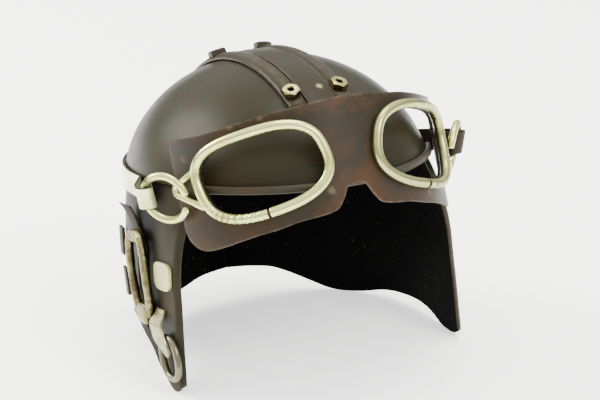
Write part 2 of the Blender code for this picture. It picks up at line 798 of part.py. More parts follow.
def strap_fold(side):
    """Edges of the strap from its folded end round the jump ring to where it nears the helmet."""
    middle, level, rising = ring_frame(side)
    held = middle - level * RING_RADIUS
    seat = strap_edges(side * STRAP_SEAT_TURN)[0]
    back = Vector((seat.x - held.x, seat.y - held.y, 0.0)).normalized()
    inward = Vector((-side * back.y, side * back.x, 0.0))
    sag = RING_RADIUS - math.sqrt(RING_RADIUS ** 2 - STRAP_HALF_HEIGHT ** 2)
    slope = math.sqrt(1.0 - (STRAP_HALF_HEIGHT / RING_RADIUS) ** 2)
    radius = (RING_WIRE / slope + FIT_GAP + (STRAP_WALL + sag) / 2.0) / math.cos(RING_LEAN)
    centre = held + level * (sag / 2.0)
    route = [centre + inward * radius + back * STRAP_RETURN]
    for step in range(FOLD_STEPS + 1):
        angle = math.pi * step / FOLD_STEPS
        route.append(centre + (inward * math.cos(angle) - back * math.sin(angle)) * radius)
    route.append(centre - inward * radius + back * STRAP_RETURN)
    return [(point + rising * STRAP_HALF_HEIGHT, point - rising * STRAP_HALF_HEIGHT) for point in route]


def goggle_strap():
    """Flat band round the back of the dome's edge, each end folded round a jump ring."""
    around = [
        strap_edges(STRAP_SEAT_TURN * (2.0 * step / STRAP_STEPS - 1.0)) for step in range(STRAP_STEPS + 1)
    ]
    pairs = strap_fold(SIDES["right"]) + around + list(reversed(strap_fold(SIDES["left"])))
    grid = [list(row) for row in zip(*pairs)]
    add_sheet("goggle_strap", grid, STRAP_WALL, pale_brass("strap_metal"), offset=0.0)


# Side fittings on each flap

def oval_route(side, turn, height, half_width, half_height, lift, slant, squareness, tilt=0.0):
    """Squared oval laid on the guard, leaning forward toward its foot.

    The tilt stands its rear side further off the guard than its front side.
    """
    route = []
    for step in range(LOOP_STEPS):
        angle = 2.0 * math.pi * step / LOOP_STEPS
        c, s = math.cos(angle), math.sin(angle)
        u = math.copysign(abs(c) ** (2.0 / squareness), c)
        v = math.copysign(abs(s) ** (2.0 / squareness), s)
        here = turn + u * half_width / FORWARD_STEP - v * slant / 2.0
        rise = lift + tilt * (1.0 - u) / 2.0
        route.append(guard_point(here, height + v * half_height, rise, side))
    return route


def ear_loop(name, side):
    """Long brass loop held over the ear strap."""
    lift = FIT_GAP + SHEET_WALL + FIT_GAP + EAR_LOOP_WIRE
    route = oval_route(
        side, EAR_LOOP_TURN, EAR_LOOP_HEIGHT, EAR_LOOP_HALF_WIDTH, EAR_LOOP_HALF_HEIGHT,
        lift, EAR_LOOP_SLANT, 3.2,
    )
    add_object(name, wire_mesh(name, route, EAR_LOOP_WIRE, closed=True), pale_brass(name + "_metal"))


def laid_strip(name, side, rows, wall, material):
    """Strip of sheet on the guard: rows of height, middle turn, half width, rear and front lift."""
    grid = []
    for height, turn, half_width, rear, front in rows:
        row = []
        for share in (0.0, 0.33, 0.67, 1.0):
            here = turn + (2.0 * share - 1.0) * half_width / FORWARD_STEP
            row.append(guard_point(here, height, rear + (front - rear) * share + wall, side))
        grid.append(row)
    add_sheet(name, grid, wall, material, side=-side)


def ear_strap(name, side):
    """Dark strip that runs down behind the ear loop, its upper end sprung back off the guard."""
    rows = []
    for step in range(11):
        share = step / 10
        spring = max(0.0, 1.0 - share / EAR_STRAP_EASE)
        turn = EAR_STRAP_TURN - EAR_STRAP_SWING * spring - EAR_STRAP_DRIFT * share ** 2
        lift = FIT_GAP + EAR_STRAP_SPRING * spring ** 5
        rear = lift + EAR_STRAP_TWIST * spring ** 3
        rows.append((EAR_STRAP_TOP - EAR_STRAP_LENGTH * share, turn, EAR_STRAP_HALF_WIDTH, rear, lift))
    laid_strip(name, side, rows, SHEET_WALL, brown_strip(name + "_metal"))


def rear_tab(name, side, height, turn):
    """Small plate behind the ear loop, its rear edge bent away from the guard."""
    rows = []
    for share in (-1.0, -0.5, 0.0, 0.5, 1.0):
        half_width = REAR_TAB_HALF_WIDTH * (1.0 - 0.12 * share ** 4)
        level = height - REAR_TAB_HALF_HEIGHT * share
        rows.append((level, turn, half_width, FIT_GAP + REAR_TAB_PROUD, FIT_GAP))
    laid_strip(name, side, rows, TAB_THICKNESS, brown_strip(name + "_metal"))


def front_clip(name, side):
    """Rounded plate in front of the ear loop."""
    rows = []
    for share in (-1.0, -0.8, -0.4, 0.0, 0.4, 0.8, 1.0):
        width = CLIP_HALF_WIDTH * (1.0 - 0.30 * abs(share) ** 5)
        rows.append((CLIP_HEIGHT - CLIP_HALF_HEIGHT * share, CLIP_TURN, width, FIT_GAP, FIT_GAP))
    laid_strip(name, side, rows, TAB_THICKNESS, pale_brass(name + "_metal"))


def buckle_loop(name, side):
    """Rounded frame low on the flap, standing off at its rear side."""
    route = oval_route(
        side, BUCKLE_TURN, BUCKLE_HEIGHT, BUCKLE_HALF_WIDTH, BUCKLE_HALF_HEIGHT,
        FIT_GAP + BUCKLE_WIRE, 3.0, 2.4, BUCKLE_TILT,
    )
    add_object(name, wire_mesh(name, route, BUCKLE_WIRE, closed=True), pale_brass(name + "_metal"))


def buckle_strap(name, side):
    """Short strip that leaves the guard, crosses the frame's upper bar and ends in a point."""
    rows = []
    for row in BUCKLE_STRAP:
        rows.append((
            row["height"],
            row["turn"],
            row["half_width"],
            FIT_GAP + (BUCKLE_STRAP_LIFT + BUCKLE_TILT) * row["climb"],
            FIT_GAP + BUCKLE_STRAP_LIFT * row["climb"],
        ))
    laid_strip(name, side, rows, SHEET_WALL, pale_brass(name + "_metal"))


# Standing on a surface

def world_corners():
    """Corners of every piece, each with its owner, as they stand."""
    bpy.context.view_layer.update()
    graph = bpy.context.evaluated_depsgraph_get()
    corners = []
    for piece in HELMET.objects:
        if piece.type != "MESH":
            continue
        mesh = piece.evaluated_get(graph).to_mesh()
        corners += [piece.matrix_world @ vertex.co for vertex in mesh.vertices]
    return corners


def balance_point():
    """Middle of the pieces' material, weighted by volume."""
    bpy.context.view_layer.update()
    graph = bpy.context.evaluated_depsgraph_get()
    total = 0.0
    moment = Vector()
    for piece in HELMET.objects:
        if piece.type != "MESH":
            continue
        mesh = piece.evaluated_get(graph).to_mesh()
        mesh.calc_loop_triangles()
        for triangle in mesh.loop_triangles:
            a, b, c = (piece.matrix_world @ mesh.vertices[i].co for i in triangle.vertices)
            volume = a.dot(b.cross(c)) / 6.0
            total += volume
            moment += (a + b + c) * (volume / 4.0)
    return moment / total


def resting_turn(corners, balance):
    """Turn that lays flat the face of the pieces' hull that lies under their balance point."""
    shape = bmesh.new()
    for corner in corners:
        shape.verts.new(corner)
    bmesh.ops.remove_doubles(shape, verts=shape.verts, dist=0.00001)
    bmesh.ops.convex_hull(shape, input=shape.verts, use_existing_faces=False)
    bmesh.ops.recalc_face_normals(shape, faces=shape.faces)
    bmesh.ops.triangulate(shape, faces=shape.faces)
    best = None
    for face in shape.faces:
        if face.normal.z > -0.7:
            continue
        a, b, c = (vertex.co for vertex in face.verts)
        drop = (a - balance).dot(face.normal)
        foot = balance + face.normal * drop
        inside = all(
            (q - p).cross(foot - p).dot(face.normal) >= 0.0 for p, q in ((a, b), (b, c), (c, a))
        )
        if inside:
            best = face.normal.copy()
    shape.free()
    return best.rotation_difference(Vector((0.0, 0.0, -1.0)))


def stand_on_surface():
    """Parent every piece to an empty that holds the helmet's resting pose over the origin."""
    corners = world_corners()
    turn = resting_turn(corners, balance_point())
    turned = [turn @ corner for corner in corners]
    low = [min(corner[axis] for corner in turned) for axis in range(3)]
    high = [max(corner[axis] for corner in turned) for axis in range(3)]
    rest = bpy.data.objects.new("rest_pose", None)
    HELMET.objects.link(rest)
    rest.rotation_mode = "QUATERNION"
    rest.rotation_quaternion = turn
    rest.location = (-(low[0] + high[0]) / 2.0, -(low[1] + high[1]) / 2.0, -low[2])
    for piece in list(HELMET.objects) + list(CUTTERS.objects):
        if piece is not rest:
            piece.parent = rest


clear_scene()
HELMET = make_collection("flight_helmet")
CUTTERS = make_collection("cutters")
PLATE_TABLE = plate_angles()

crown_shell()
crown_panel()
guard_half("neck_guard_right", SIDES["right"], RIGHT_EDGE)
guard_half("neck_guard_left", SIDES["left"], LEFT_EDGE)
goggle_plate()
goggle_strap()
for word, sign in SIDES.items():
    crown_rib("crown_rib_" + word, sign)
    crown_nut("front_nut_" + word, sign, FRONT_NUT_Y)
    crown_nut("rear_nut_" + word, sign, REAR_NUT_Y)
    goggle_rim("goggle_rim_" + word, sign)
    jump_ring("jump_ring_" + word, sign)
    ear_loop("ear_loop_" + word, sign)
    ear_strap("ear_strap_" + word, sign)
    rear_tab("upper_tab_" + word, sign, UPPER_TAB_HEIGHT, REAR_TAB_TURN)
    rear_tab("lower_tab_" + word, sign, LOWER_TAB_HEIGHT, REAR_TAB_TURN)
front_clip("front_clip_right", SIDES["right"])
buckle_loop("buckle_loop_right", SIDES["right"])
buckle_strap("buckle_strap_right", SIDES["right"])
stand_on_surface()
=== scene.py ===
"""Flight helmet of sheet metal with bare wire goggles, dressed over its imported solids."""

import math

import bmesh
import bpy
import numpy as np
from mathutils import Matrix, Quaternion, Vector


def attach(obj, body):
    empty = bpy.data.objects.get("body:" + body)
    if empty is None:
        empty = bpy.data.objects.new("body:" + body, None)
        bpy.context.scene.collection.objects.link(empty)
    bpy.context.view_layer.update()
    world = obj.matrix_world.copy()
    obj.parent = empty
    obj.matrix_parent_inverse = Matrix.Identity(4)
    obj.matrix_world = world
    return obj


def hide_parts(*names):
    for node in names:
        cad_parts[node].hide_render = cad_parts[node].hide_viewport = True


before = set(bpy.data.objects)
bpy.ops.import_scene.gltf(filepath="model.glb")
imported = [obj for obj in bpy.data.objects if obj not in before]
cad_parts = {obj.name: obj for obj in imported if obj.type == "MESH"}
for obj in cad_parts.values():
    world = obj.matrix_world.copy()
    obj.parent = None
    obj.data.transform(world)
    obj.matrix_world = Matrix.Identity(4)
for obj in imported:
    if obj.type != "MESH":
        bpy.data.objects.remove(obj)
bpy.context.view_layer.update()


# Camera: a long lens to the front and right of the wearer, a little above the goggles, rolled
# slightly, so that the helmet fills the frame as it does in the picture.
camera_data = bpy.data.cameras.new("camera")
camera_data.sensor_width = 36.0
camera_data.lens = 167.44
camera_data.clip_start = 0.05
camera = bpy.data.objects.new("camera", camera_data)
camera_across = Vector((0.900273, -0.434685, -0.023625))
camera_up = Vector((0.163346, 0.286650, 0.944007))
camera_back = Vector((-0.403574, -0.853723, 0.329067))
turned = Matrix((camera_across, camera_up, camera_back)).transposed().to_4x4()
camera.matrix_world = Matrix.Translation((-0.681187, -1.472420, 0.653641)) @ turned
bpy.context.scene.collection.objects.link(camera)
bpy.context.scene.camera = camera


# Studio: a plain pale floor under soft light from all round, with a large soft light behind and
# to the left that brings up the sheen along the dome's edge.
def add_node(tree, kind, settings=None, **values):
    """New node with its settings, each input given a value or joined to a socket."""
    made = tree.nodes.new(kind)
    for key, value in (settings or {}).items():
        setattr(made, key, value)
    for key, value in values.items():
        socket = made.inputs[int(key[1:])] if key[1:].isdigit() else made.inputs[key.replace("_", " ")]
        if isinstance(value, bpy.types.NodeSocket):
            tree.links.new(value, socket)
        else:
            socket.default_value = value
    return made


def soft_light(name, place, aim, size, power, colour):
    """Round area light at a place, turned toward an aim."""
    data = bpy.data.lights.new(name, "AREA")
    data.shape = "DISK"
    data.size = size
    data.energy = power
    data.color = colour
    light = bpy.data.objects.new(name, data)
    light.location = place
    light.rotation_euler = (Vector(aim) - Vector(place)).to_track_quat("-Z", "Y").to_euler()
    bpy.context.scene.collection.objects.link(light)


sky = bpy.data.worlds.new("studio")
sky.use_nodes = True
bpy.context.scene.world = sky
backdrop = sky.node_tree
aim = backdrop.nodes.new("ShaderNodeTexCoord").outputs["Generated"]
height = add_node(backdrop, "ShaderNodeSeparateXYZ", None, Vector=aim).outputs["Z"]
shade = add_node(
    backdrop, "ShaderNodeMapRange", {"interpolation_type": "SMOOTHSTEP"},
    i0=height, i1=0.0, i2=0.6, i3=0.12, i4=1.0,
).outputs[0]
backdrop.links.new(shade, backdrop.nodes["Background"].inputs["Color"])
backdrop.nodes["Background"].inputs["Strength"].default_value = 2.2
soft_light("light_behind", (-1.2, 1.3, 1.2), (0.0, 0.0, 0.1), 0.9, 80.0, (0.97, 1.0, 0.92))
soft_light("light_front", (0.5, -1.5, 1.5), (0.0, 0.0, 0.08), 0.7, 30.0, (1.0, 1.0, 0.92))
soft_light("light_top", (0.3, 0.2, 2.2), (0.0, 0.0, 0.1), 1.2, 50.0, (1.0, 1.0, 0.93))

floor_mesh = bpy.data.meshes.new("floor")
floor_reach = 12.0
floor_mesh.from_pydata(
    [(-floor_reach, -floor_reach, 0.0), (floor_reach, -floor_reach, 0.0),
     (floor_reach, floor_reach, 0.0), (-floor_reach, floor_reach, 0.0)], [], [(0, 1, 2, 3)]
)
floor = bpy.data.objects.new("floor", floor_mesh)
bpy.context.scene.collection.objects.link(floor)
floor_paper = bpy.data.materials.new("floor_paper")
floor_paper.use_nodes = True
paper = floor_paper.node_tree.nodes["Principled BSDF"]
paper.inputs["Base Color"].default_value = (1.0, 1.0, 1.0, 1.0)
paper.inputs["Roughness"].default_value = 0.9
paper.inputs["Specular IOR Level"].default_value = 0.0
paper.inputs["Emission Color"].default_value = (1.0, 1.0, 1.0, 1.0)
paper.inputs["Emission Strength"].default_value = 1.05
floor_mesh.materials.append(floor_paper)


# Dome: one sheet of steel raised to a half ellipsoid, its wall as thick as the neck guard's,
# painted a satin olive brown that has gone rusty brown in clouds.
REST_TURN = np.array(Quaternion((-0.133625, -0.002772, 0.0), 0.134063).to_matrix())
REST_SHIFT = np.array((0.000019, 0.003773, 0.117307))
SHEET_WALL = 0.0015
FIT_GAP = 0.0003
DOME_HALF_WIDTH = 0.0900
DOME_HALF_LENGTH = 0.1107
DOME_RISE = 0.0773
DOME_LEVEL_DROP = 0.0148
WELD_REACH = 0.000004


def rested(points):
    """Points of the upright helmet set down as it rests: the rest turn, then the rest shift."""
    return np.asarray(points, float) @ REST_TURN.T + REST_SHIFT


def unit(vectors):
    """Vectors divided by their lengths."""
    return vectors / np.maximum(np.linalg.norm(vectors, axis=-1, keepdims=True), 1e-12)


def patch(grid, slot=0, around=False, along=False, skip=None, **marks):
    """A grid of points, rows by columns, with its material number and its values per point."""
    return {"grid": grid, "slot": slot, "around": around, "along": along, "skip": skip, "marks": marks}


def join_patches(name, patches, weld):
    """Mesh of the patches: quads between neighbours of each grid, shared borders welded."""
    points, quads, slots = [], [], []
    names = sorted({key for part in patches for key in part["marks"]})
    marks = {key: [] for key in names}
    start = 0
    for part in patches:
        grid = part["grid"]
        rows, columns = grid.shape[:2]
        index = start + np.arange(rows * columns).reshape(rows, columns)
        start += rows * columns
        if part["around"]:
            index = np.concatenate([index, index[:, :1]], axis=1)
        if part["along"]:
            index = np.concatenate([index, index[:1]], axis=0)
        made = np.stack([index[:-1, :-1], index[:-1, 1:], index[1:, 1:], index[1:, :-1]], axis=-1)
        chosen = np.broadcast_to(part["slot"], made.shape[:2]).reshape(-1)
        made = made.reshape(-1, 4)
        if part["skip"] is not None:
            chosen, made = chosen[~part["skip"].reshape(-1)], made[~part["skip"].reshape(-1)]
        points.append(grid.reshape(-1, 3))
        quads.append(made)
        slots.append(chosen)
        for key in names:
            value = part["marks"].get(key, 0.0)
            marks[key].append(np.broadcast_to(value, (rows, columns)).reshape(-1))
    mesh = bpy.data.meshes.new(name)
    mesh.from_pydata(rested(np.concatenate(points)).tolist(), [], np.concatenate(quads).tolist())
    mesh.polygons.foreach_set("material_index", np.concatenate(slots).astype(np.int32))
    for key in names:
        layer = mesh.attributes.new(key, "FLOAT", "POINT")
        layer.data.foreach_set("value", np.concatenate(marks[key]).astype(np.float32))
    shape = bmesh.new()
    shape.from_mesh(mesh)
    bmesh.ops.remove_doubles(shape, verts=shape.verts, dist=weld)
    bmesh.ops.recalc_face_normals(shape, faces=shape.faces)
    shape.to_mesh(mesh)
    shape.free()
    return mesh


def dress(name, patches, materials, node=None, bevel=0.0, sharp=38.0, weld=WELD_REACH):
    """Object made of patches that rides on the helmet and may stand for a CAD node."""
    mesh = join_patches(name, patches, weld)
    made = bpy.data.objects.new(name, mesh)
    bpy.context.scene.collection.objects.link(made)
    for material in materials:
        mesh.materials.append(material)
    mesh.shade_smooth()
    mesh.set_sharp_from_angle(angle=math.radians(sharp))
    if bevel:
        soften = made.modifiers.new("Soft edge", "BEVEL")
        soften.width = bevel
        soften.segments = 2
        soften.limit_method = "ANGLE"
        soften.angle_limit = math.radians(50.0)
    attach(made, "root")
    if node:
        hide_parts(node)


def new_group(name, inputs, outputs):
    """Empty shader group with float, colour and vector sockets."""
    kinds = {"value": "NodeSocketFloat", "colour": "NodeSocketColor", "vector": "NodeSocketVector"}
    tree = bpy.data.node_groups.new(name, "ShaderNodeTree")
    for label, kind in inputs:
        tree.interface.new_socket(name=label, in_out="INPUT", socket_type=kinds[kind])
    for label, kind in outputs:
        tree.interface.new_socket(name=label, in_out="OUTPUT", socket_type=kinds[kind])
    return tree, tree.nodes.new("NodeGroupInput").outputs, tree.nodes.new("NodeGroupOutput").inputs


def blend_colour(tree, share, low, high):
    """Mix of two colours by a share, as a socket."""
    mixed = add_node(tree, "ShaderNodeMix", {"data_type": "RGBA"}, i0=share, i6=low, i7=high)
    return mixed.outputs[2]


def ramp(tree, value, low, high, to_low=0.0, to_high=1.0):
    """Smooth step of a value between two limits, as a socket."""
    made = add_node(
        tree, "ShaderNodeMapRange", {"interpolation_type": "SMOOTHSTEP"},
        i0=value, i1=low, i2=high, i3=to_low, i4=to_high,
    )
    return made.outputs[0]


def combine(tree, operation, first, second):
    """Arithmetic of two values, as a socket."""
    made = add_node(tree, "ShaderNodeMath", {"operation": operation}, i0=first, i1=second)
    return made.outputs[0]


def times(tree, first, second):
    """Product of two values, as a socket."""
    return combine(tree, "MULTIPLY", first, second)


def attribute(tree, key):
    """Value that a mesh carries per point, 0 where it has none, as a socket."""
    return add_node(tree, "ShaderNodeAttribute", {"attribute_name": key}).outputs["Fac"]


def new_material(name):
    """Material with its tree, its shader and the place on the object as a socket."""
    material = bpy.data.materials.new(name)
    material.use_nodes = True
    tree = material.node_tree
    place = tree.nodes.new("ShaderNodeTexCoord").outputs["Object"]
    return material, tree, tree.nodes["Principled BSDF"], place


def drive_shader(tree, shader, colour, roughness, relief):
    """Joins a colour, a roughness and a bump to the shader."""
    tree.links.new(colour, shader.inputs["Base Color"])
    tree.links.new(roughness, shader.inputs["Roughness"])
    tree.links.new(relief.outputs["Normal"], shader.inputs["Normal"])


def noise(tree, vector, scale, detail=4.0, roughness=0.6):
    """Cloudy noise at a scale, as a socket."""
    made = add_node(
        tree, "ShaderNodeTexNoise", None, Vector=vector, Scale=scale, Detail=detail, Roughness=roughness
    )
    return made.outputs["Fac"]


def paint_group():
    """Old paint on sheet: clouds of rust and grey sheen, rubbed edges and spots, fine orange peel."""
    tree, source, target = new_group(
        "old_paint",
        [("Vector", "vector"), ("Base", "colour"), ("Rust", "colour"), ("Grey", "colour"),
         ("Rubbed", "colour"), ("Edge", "value"), ("Rub", "value"), ("Aged", "value")],
        [("Colour", "colour"), ("Roughness", "value"), ("Height", "value")],
    )
    clouds = noise(tree, source["Vector"], 22.0, 5.0, 0.62)
    drift = noise(tree, source["Vector"], 9.0, 3.0, 0.5)
    speckle = noise(tree, source["Vector"], 900.0, 2.0, 0.5)
    streak = noise(tree, source["Vector"], 160.0, 4.0, 0.7)
    rust = times(tree, ramp(tree, clouds, 0.46, 0.68), 0.75)
    aged = times(tree, source["Aged"], ramp(tree, combine(tree, "ADD", clouds, streak), 0.80, 1.12))
    rust = combine(tree, "MAXIMUM", rust, aged)
    grey = times(tree, ramp(tree, drift, 0.42, 0.66), 0.45)
    colour = blend_colour(tree, rust, source["Base"], source["Rust"])
    colour = blend_colour(tree, grey, colour, source["Grey"])
    colour = blend_colour(tree, times(tree, aged, 0.9), colour, source["Rust"])
    broken = times(tree, source["Edge"], ramp(tree, streak, 0.30, 0.62))
    spots = times(tree, source["Rub"], ramp(tree, streak, 0.32, 0.55))
    worn = combine(tree, "MAXIMUM", broken, spots)
    colour = blend_colour(tree, worn, colour, source["Rubbed"])
    specks = ramp(tree, speckle, 0.66, 0.74)
    colour = blend_colour(tree, times(tree, specks, 0.25), colour, source["Rust"])
    tree.links.new(colour, target["Colour"])
    rough = combine(tree, "ADD", ramp(tree, clouds, 0.3, 0.7, 0.27, 0.40), times(tree, streak, 0.10))
    tree.links.new(rough, target["Roughness"])
    height = combine(tree, "ADD", times(tree, speckle, 0.18), times(tree, streak, 0.35))
    height = combine(tree, "ADD", height, times(tree, clouds, 0.8))
    height = combine(tree, "SUBTRACT", height, times(tree, worn, 0.5))
    tree.links.new(height, target["Height"])
    return tree


OLD_PAINT = paint_group()
# Near black of the painted shade laid on the flaps round their fittings.
PAINTED_SHADE_COLOUR = (0.0018, 0.0018, 0.0014, 1.0)


def painted_sheet(name, base, rust, grey, rubbed, specular=0.08, bump=0.22):
    """Satin painted sheet that takes its wear from the piece's edge, rub and aged values; one more value darkens it
    to near black as painted shade.
    """
    material, tree, shader, place = new_material(name)
    paint = add_node(
        tree, "ShaderNodeGroup", {"node_tree": OLD_PAINT}, Vector=place, Base=(*base, 1.0), Rust=(*rust, 1.0),
        Grey=(*grey, 1.0), Rubbed=(*rubbed, 1.0),
        Edge=attribute(tree, "edge"), Rub=attribute(tree, "rub"), Aged=attribute(tree, "aged"),
    )
    relief = add_node(tree, "ShaderNodeBump", None, Strength=bump, Distance=0.0006, Height=paint.outputs["Height"])
    # Painted shade: the paint goes to near black where the piece's shade value is high.
    colour = blend_colour(tree, attribute(tree, "sooty"), paint.outputs["Colour"], PAINTED_SHADE_COLOUR)
    drive_shader(tree, shader, colour, paint.outputs["Roughness"], relief)
    shader.inputs["Specular IOR Level"].default_value = specular
    return material


def black_inside(name):
    """Dull black inside paint with tiny rust brown specks and a faint brushed unevenness."""
    material, tree, shader, place = new_material(name)
    specks = ramp(tree, noise(tree, place, 420.0, 1.0, 0.4), 0.71, 0.76)
    clouds = noise(tree, place, 30.0, 3.0, 0.6)
    low, high = (0.0014, 0.0016, 0.0015, 1.0), (0.0030, 0.0033, 0.0031, 1.0)
    base = blend_colour(tree, ramp(tree, clouds, 0.3, 0.7), low, high)
    colour = blend_colour(tree, times(tree, specks, 0.55), base, (0.060, 0.034, 0.018, 1.0))
    relief = add_node(tree, "ShaderNodeBump", None, Strength=0.2, Distance=0.0004, Height=clouds)
    drive_shader(tree, shader, colour, ramp(tree, clouds, 0.3, 0.7, 0.62, 0.80), relief)
    shader.inputs["Specular IOR Level"].default_value = 0.03
    return material


def dome_surface(turn, rise, inset=0.0):
    """Half ellipsoid: (A cos r sin t, B cos r cos t, C sin r - drop), moved in along its normal."""
    ball = np.stack([np.cos(rise) * np.sin(turn), np.cos(rise) * np.cos(turn), np.sin(rise)], axis=-1)
    size = np.array((DOME_HALF_WIDTH, DOME_HALF_LENGTH, DOME_RISE))
    return ball * size - (0.0, 0.0, DOME_LEVEL_DROP) - unit(ball / size) * np.asarray(inset)[..., None]


dome_paint = painted_sheet(
    "dome_paint", (0.016, 0.0145, 0.0070), (0.022, 0.0110, 0.0045), (0.021, 0.0225, 0.0130), (0.22, 0.21, 0.13)
)
inside_paint = black_inside("inside_paint")
edge_rise = math.asin(DOME_LEVEL_DROP / DOME_RISE)
dome_turns = np.linspace(0.0, 2.0 * math.pi, 220, endpoint=False)[None, :]
dome_rises = np.linspace(math.pi / 2.0, edge_rise, 76)[:, None]
dome_turns, dome_rises = np.broadcast_arrays(dome_turns, dome_rises)
waves = np.sin(5.0 * dome_turns + 9.0 * dome_rises) + np.sin(3.0 * dome_turns - 7.0 * dome_rises + 1.3)
uneven = 0.00010 * waves * np.cos(dome_rises) ** 2
dome_outer = dome_surface(dome_turns, dome_rises, 0.00012 + uneven)
dome_inner = dome_surface(dome_turns, dome_rises, SHEET_WALL)
dome_rim = np.stack([dome_outer[-1], dome_inner[-1]])
dome_patches = [
    patch(dome_outer, around=True),
    patch(dome_inner, slot=1, around=True),
    patch(dome_rim, slot=1, around=True),
]
dress("dome", dome_patches, [dome_paint, inside_paint], "crown_shell", bevel=0.0004)


# Front bead: the dome's front edge is rolled round a wire from flap to flap, painted a little
# lighter than the dome.
BEAD_RADIUS = 0.0024
BEAD_OUT = 0.0015
WIRE_SIDES = 18
WIRE_SHARP = 60.0


def edge_point(turn, outward=0.0):
    """Dome's open edge at a turn in degrees from the back, moved outward in plan."""
    share = math.sqrt(1.0 - (DOME_LEVEL_DROP / DOME_RISE) ** 2)
    wide, long = DOME_HALF_WIDTH * share, DOME_HALF_LENGTH * share
    angle = np.radians(turn)
    s, c, nought = np.sin(angle), np.cos(angle), np.zeros_like(angle)
    out = unit(np.stack([s / wide, c / long, nought], axis=-1))
    return np.stack([wide * s, long * c, nought], axis=-1) + out * outward


def tube(path, facing, radius, sides, closed=False, tip=0.5):
    """Wire along a path: path + radius (cos a n + sin a b), n facing, b across; round tips."""
    if closed:
        along = unit(np.roll(path, -1, axis=0) - np.roll(path, 1, axis=0))
    else:
        along = unit(np.gradient(path, axis=0))
    n = unit(facing - np.sum(facing * along, axis=-1, keepdims=True) * along)
    b = np.cross(along, n)
    thick = np.broadcast_to(np.asarray(radius, float), (len(path),))
    if not closed:
        lean = np.linspace(math.pi / 2.0, 0.0, 6)[:-1]
        first = path[0] - along[0] * (np.sin(lean) * thick[0] * tip)[:, None]
        last = path[-1] + along[-1] * (np.sin(lean[::-1]) * thick[-1] * tip)[:, None]
        path = np.concatenate([first, path, last])
        n = np.concatenate([np.repeat(n[:1], 5, 0), n, np.repeat(n[-1:], 5, 0)])
        b = np.concatenate([np.repeat(b[:1], 5, 0), b, np.repeat(b[-1:], 5, 0)])
        thick = np.concatenate([np.cos(lean) * thick[0], thick, np.cos(lean[::-1]) * thick[-1]])
    a = np.linspace(0.0, 2.0 * math.pi, sides, endpoint=False)[None, :, None]
    ring = n[:, None] * np.cos(a) + b[:, None] * np.sin(a)
    return path[:, None] + ring * thick[:, None, None]


bead_paint = painted_sheet(
    "bead_paint", (0.030, 0.027, 0.018), (0.040, 0.022, 0.012), (0.060, 0.060, 0.046), (0.25, 0.24, 0.17)
)
bead_turns = np.linspace(118.0, 242.0, 160)
bead_route = edge_point(bead_turns, BEAD_OUT)
bead_grid = tube(bead_route, np.tile((0.0, 0.0, 1.0), (len(bead_route), 1)), BEAD_RADIUS, WIRE_SIDES)
dress("front_bead", [patch(bead_grid, around=True)], [bead_paint])


# Crown panel: a flat band of the same sheet laid from front to back over the middle of the dome,
# with one pale spot near its front where the paint has gone.
PANEL_HALF_WIDTH = 0.0090
TRIM_GAP = 0.0006
TRIM_FRONT_HEIGHT = 0.0400
TRIM_BACK_HEIGHT = 0.0040


def trim_route(across, lift, share):
    """Over the dome from front to back at a distance across its middle, raised along its normal."""
    across, share = np.broadcast_arrays(np.asarray(across, float), share)
    narrowed = np.sqrt(1.0 - (across / DOME_HALF_WIDTH) ** 2)
    front = np.arcsin((TRIM_FRONT_HEIGHT + DOME_LEVEL_DROP) / (DOME_RISE * narrowed))
    back = math.pi - np.arcsin((TRIM_BACK_HEIGHT + DOME_LEVEL_DROP) / (DOME_RISE * narrowed))
    angle = front + (back - front) * share
    point = np.stack([
        across, -DOME_HALF_LENGTH * narrowed * np.cos(angle),
        DOME_RISE * narrowed * np.sin(angle) - DOME_LEVEL_DROP,
    ], axis=-1)
    return point + dome_normal(point) * np.asarray(lift)[..., None], dome_normal(point)


def dome_normal(point):
    """Outward normal of the dome's ellipsoid under a point."""
    size = np.array((DOME_HALF_WIDTH, DOME_HALF_LENGTH, DOME_RISE))
    return unit((point + (0.0, 0.0, DOME_LEVEL_DROP)) / size ** 2)


def sheet_patches(outer, inner, inner_slot=0, **marks):
    """Closed sheet from its two faces, with a wall along each of its four borders."""
    made = [patch(outer, **marks), patch(inner, slot=inner_slot, **marks)]
    for border in (np.s_[0], np.s_[-1], np.s_[:, 0], np.s_[:, -1]):
        kept = {key: np.stack([value[border], value[border]]) for key, value in marks.items()}
        made.append(patch(np.stack([outer[border], inner[border]]), **kept))
    return made


def border_mark(rows, columns, row_step, column_step, reach):
    """Falls from 1 at the borders of a grid to 0 at a reach inside, by distance in metres."""
    down = np.arange(rows) * row_step
    over = np.arange(columns) * column_step
    near_row = np.minimum(down, down[::-1])[:, None]
    near_column = np.minimum(over, over[::-1])[None, :]
    return np.clip(1.0 - np.minimum(near_row, near_column) / reach, 0.0, 1.0)


def spot_mark(grid, centre, reach):
    """1 at a place on a surface, falling to 0 at a reach from it."""
    return np.clip(1.4 - 1.4 * np.linalg.norm(grid - np.asarray(centre), axis=-1) / reach, 0.0, 1.0)


panel_share = np.linspace(0.0, 1.0, 150)[:, None]
panel_across = np.linspace(-1.0, 1.0, 25)[None, :] * PANEL_HALF_WIDTH
panel_lip = 0.00025 * (np.abs(panel_across) / PANEL_HALF_WIDTH) ** 6 + 0.0 * panel_share
panel_outer, _ = trim_route(panel_across, TRIM_GAP + SHEET_WALL + panel_lip, panel_share)
panel_inner, _ = trim_route(panel_across, np.full_like(panel_lip, TRIM_GAP), panel_share)
panel_edge = 0.06 * border_mark(*panel_lip.shape, 0.0016, 0.00075, 0.0012)
panel_spot, _ = trim_route(np.array([0.0040]), np.array([TRIM_GAP + SHEET_WALL]), np.array([0.078]))
panel_rub = 0.8 * spot_mark(panel_outer, panel_spot[0], 0.0026)
band_paint = painted_sheet(
    "band_paint", (0.0175, 0.0150, 0.0080), (0.027, 0.0135, 0.0055), (0.024, 0.0245, 0.0145), (0.36, 0.36, 0.18)
)
panel_patches = sheet_patches(panel_outer, panel_inner, edge=panel_edge, rub=panel_rub)
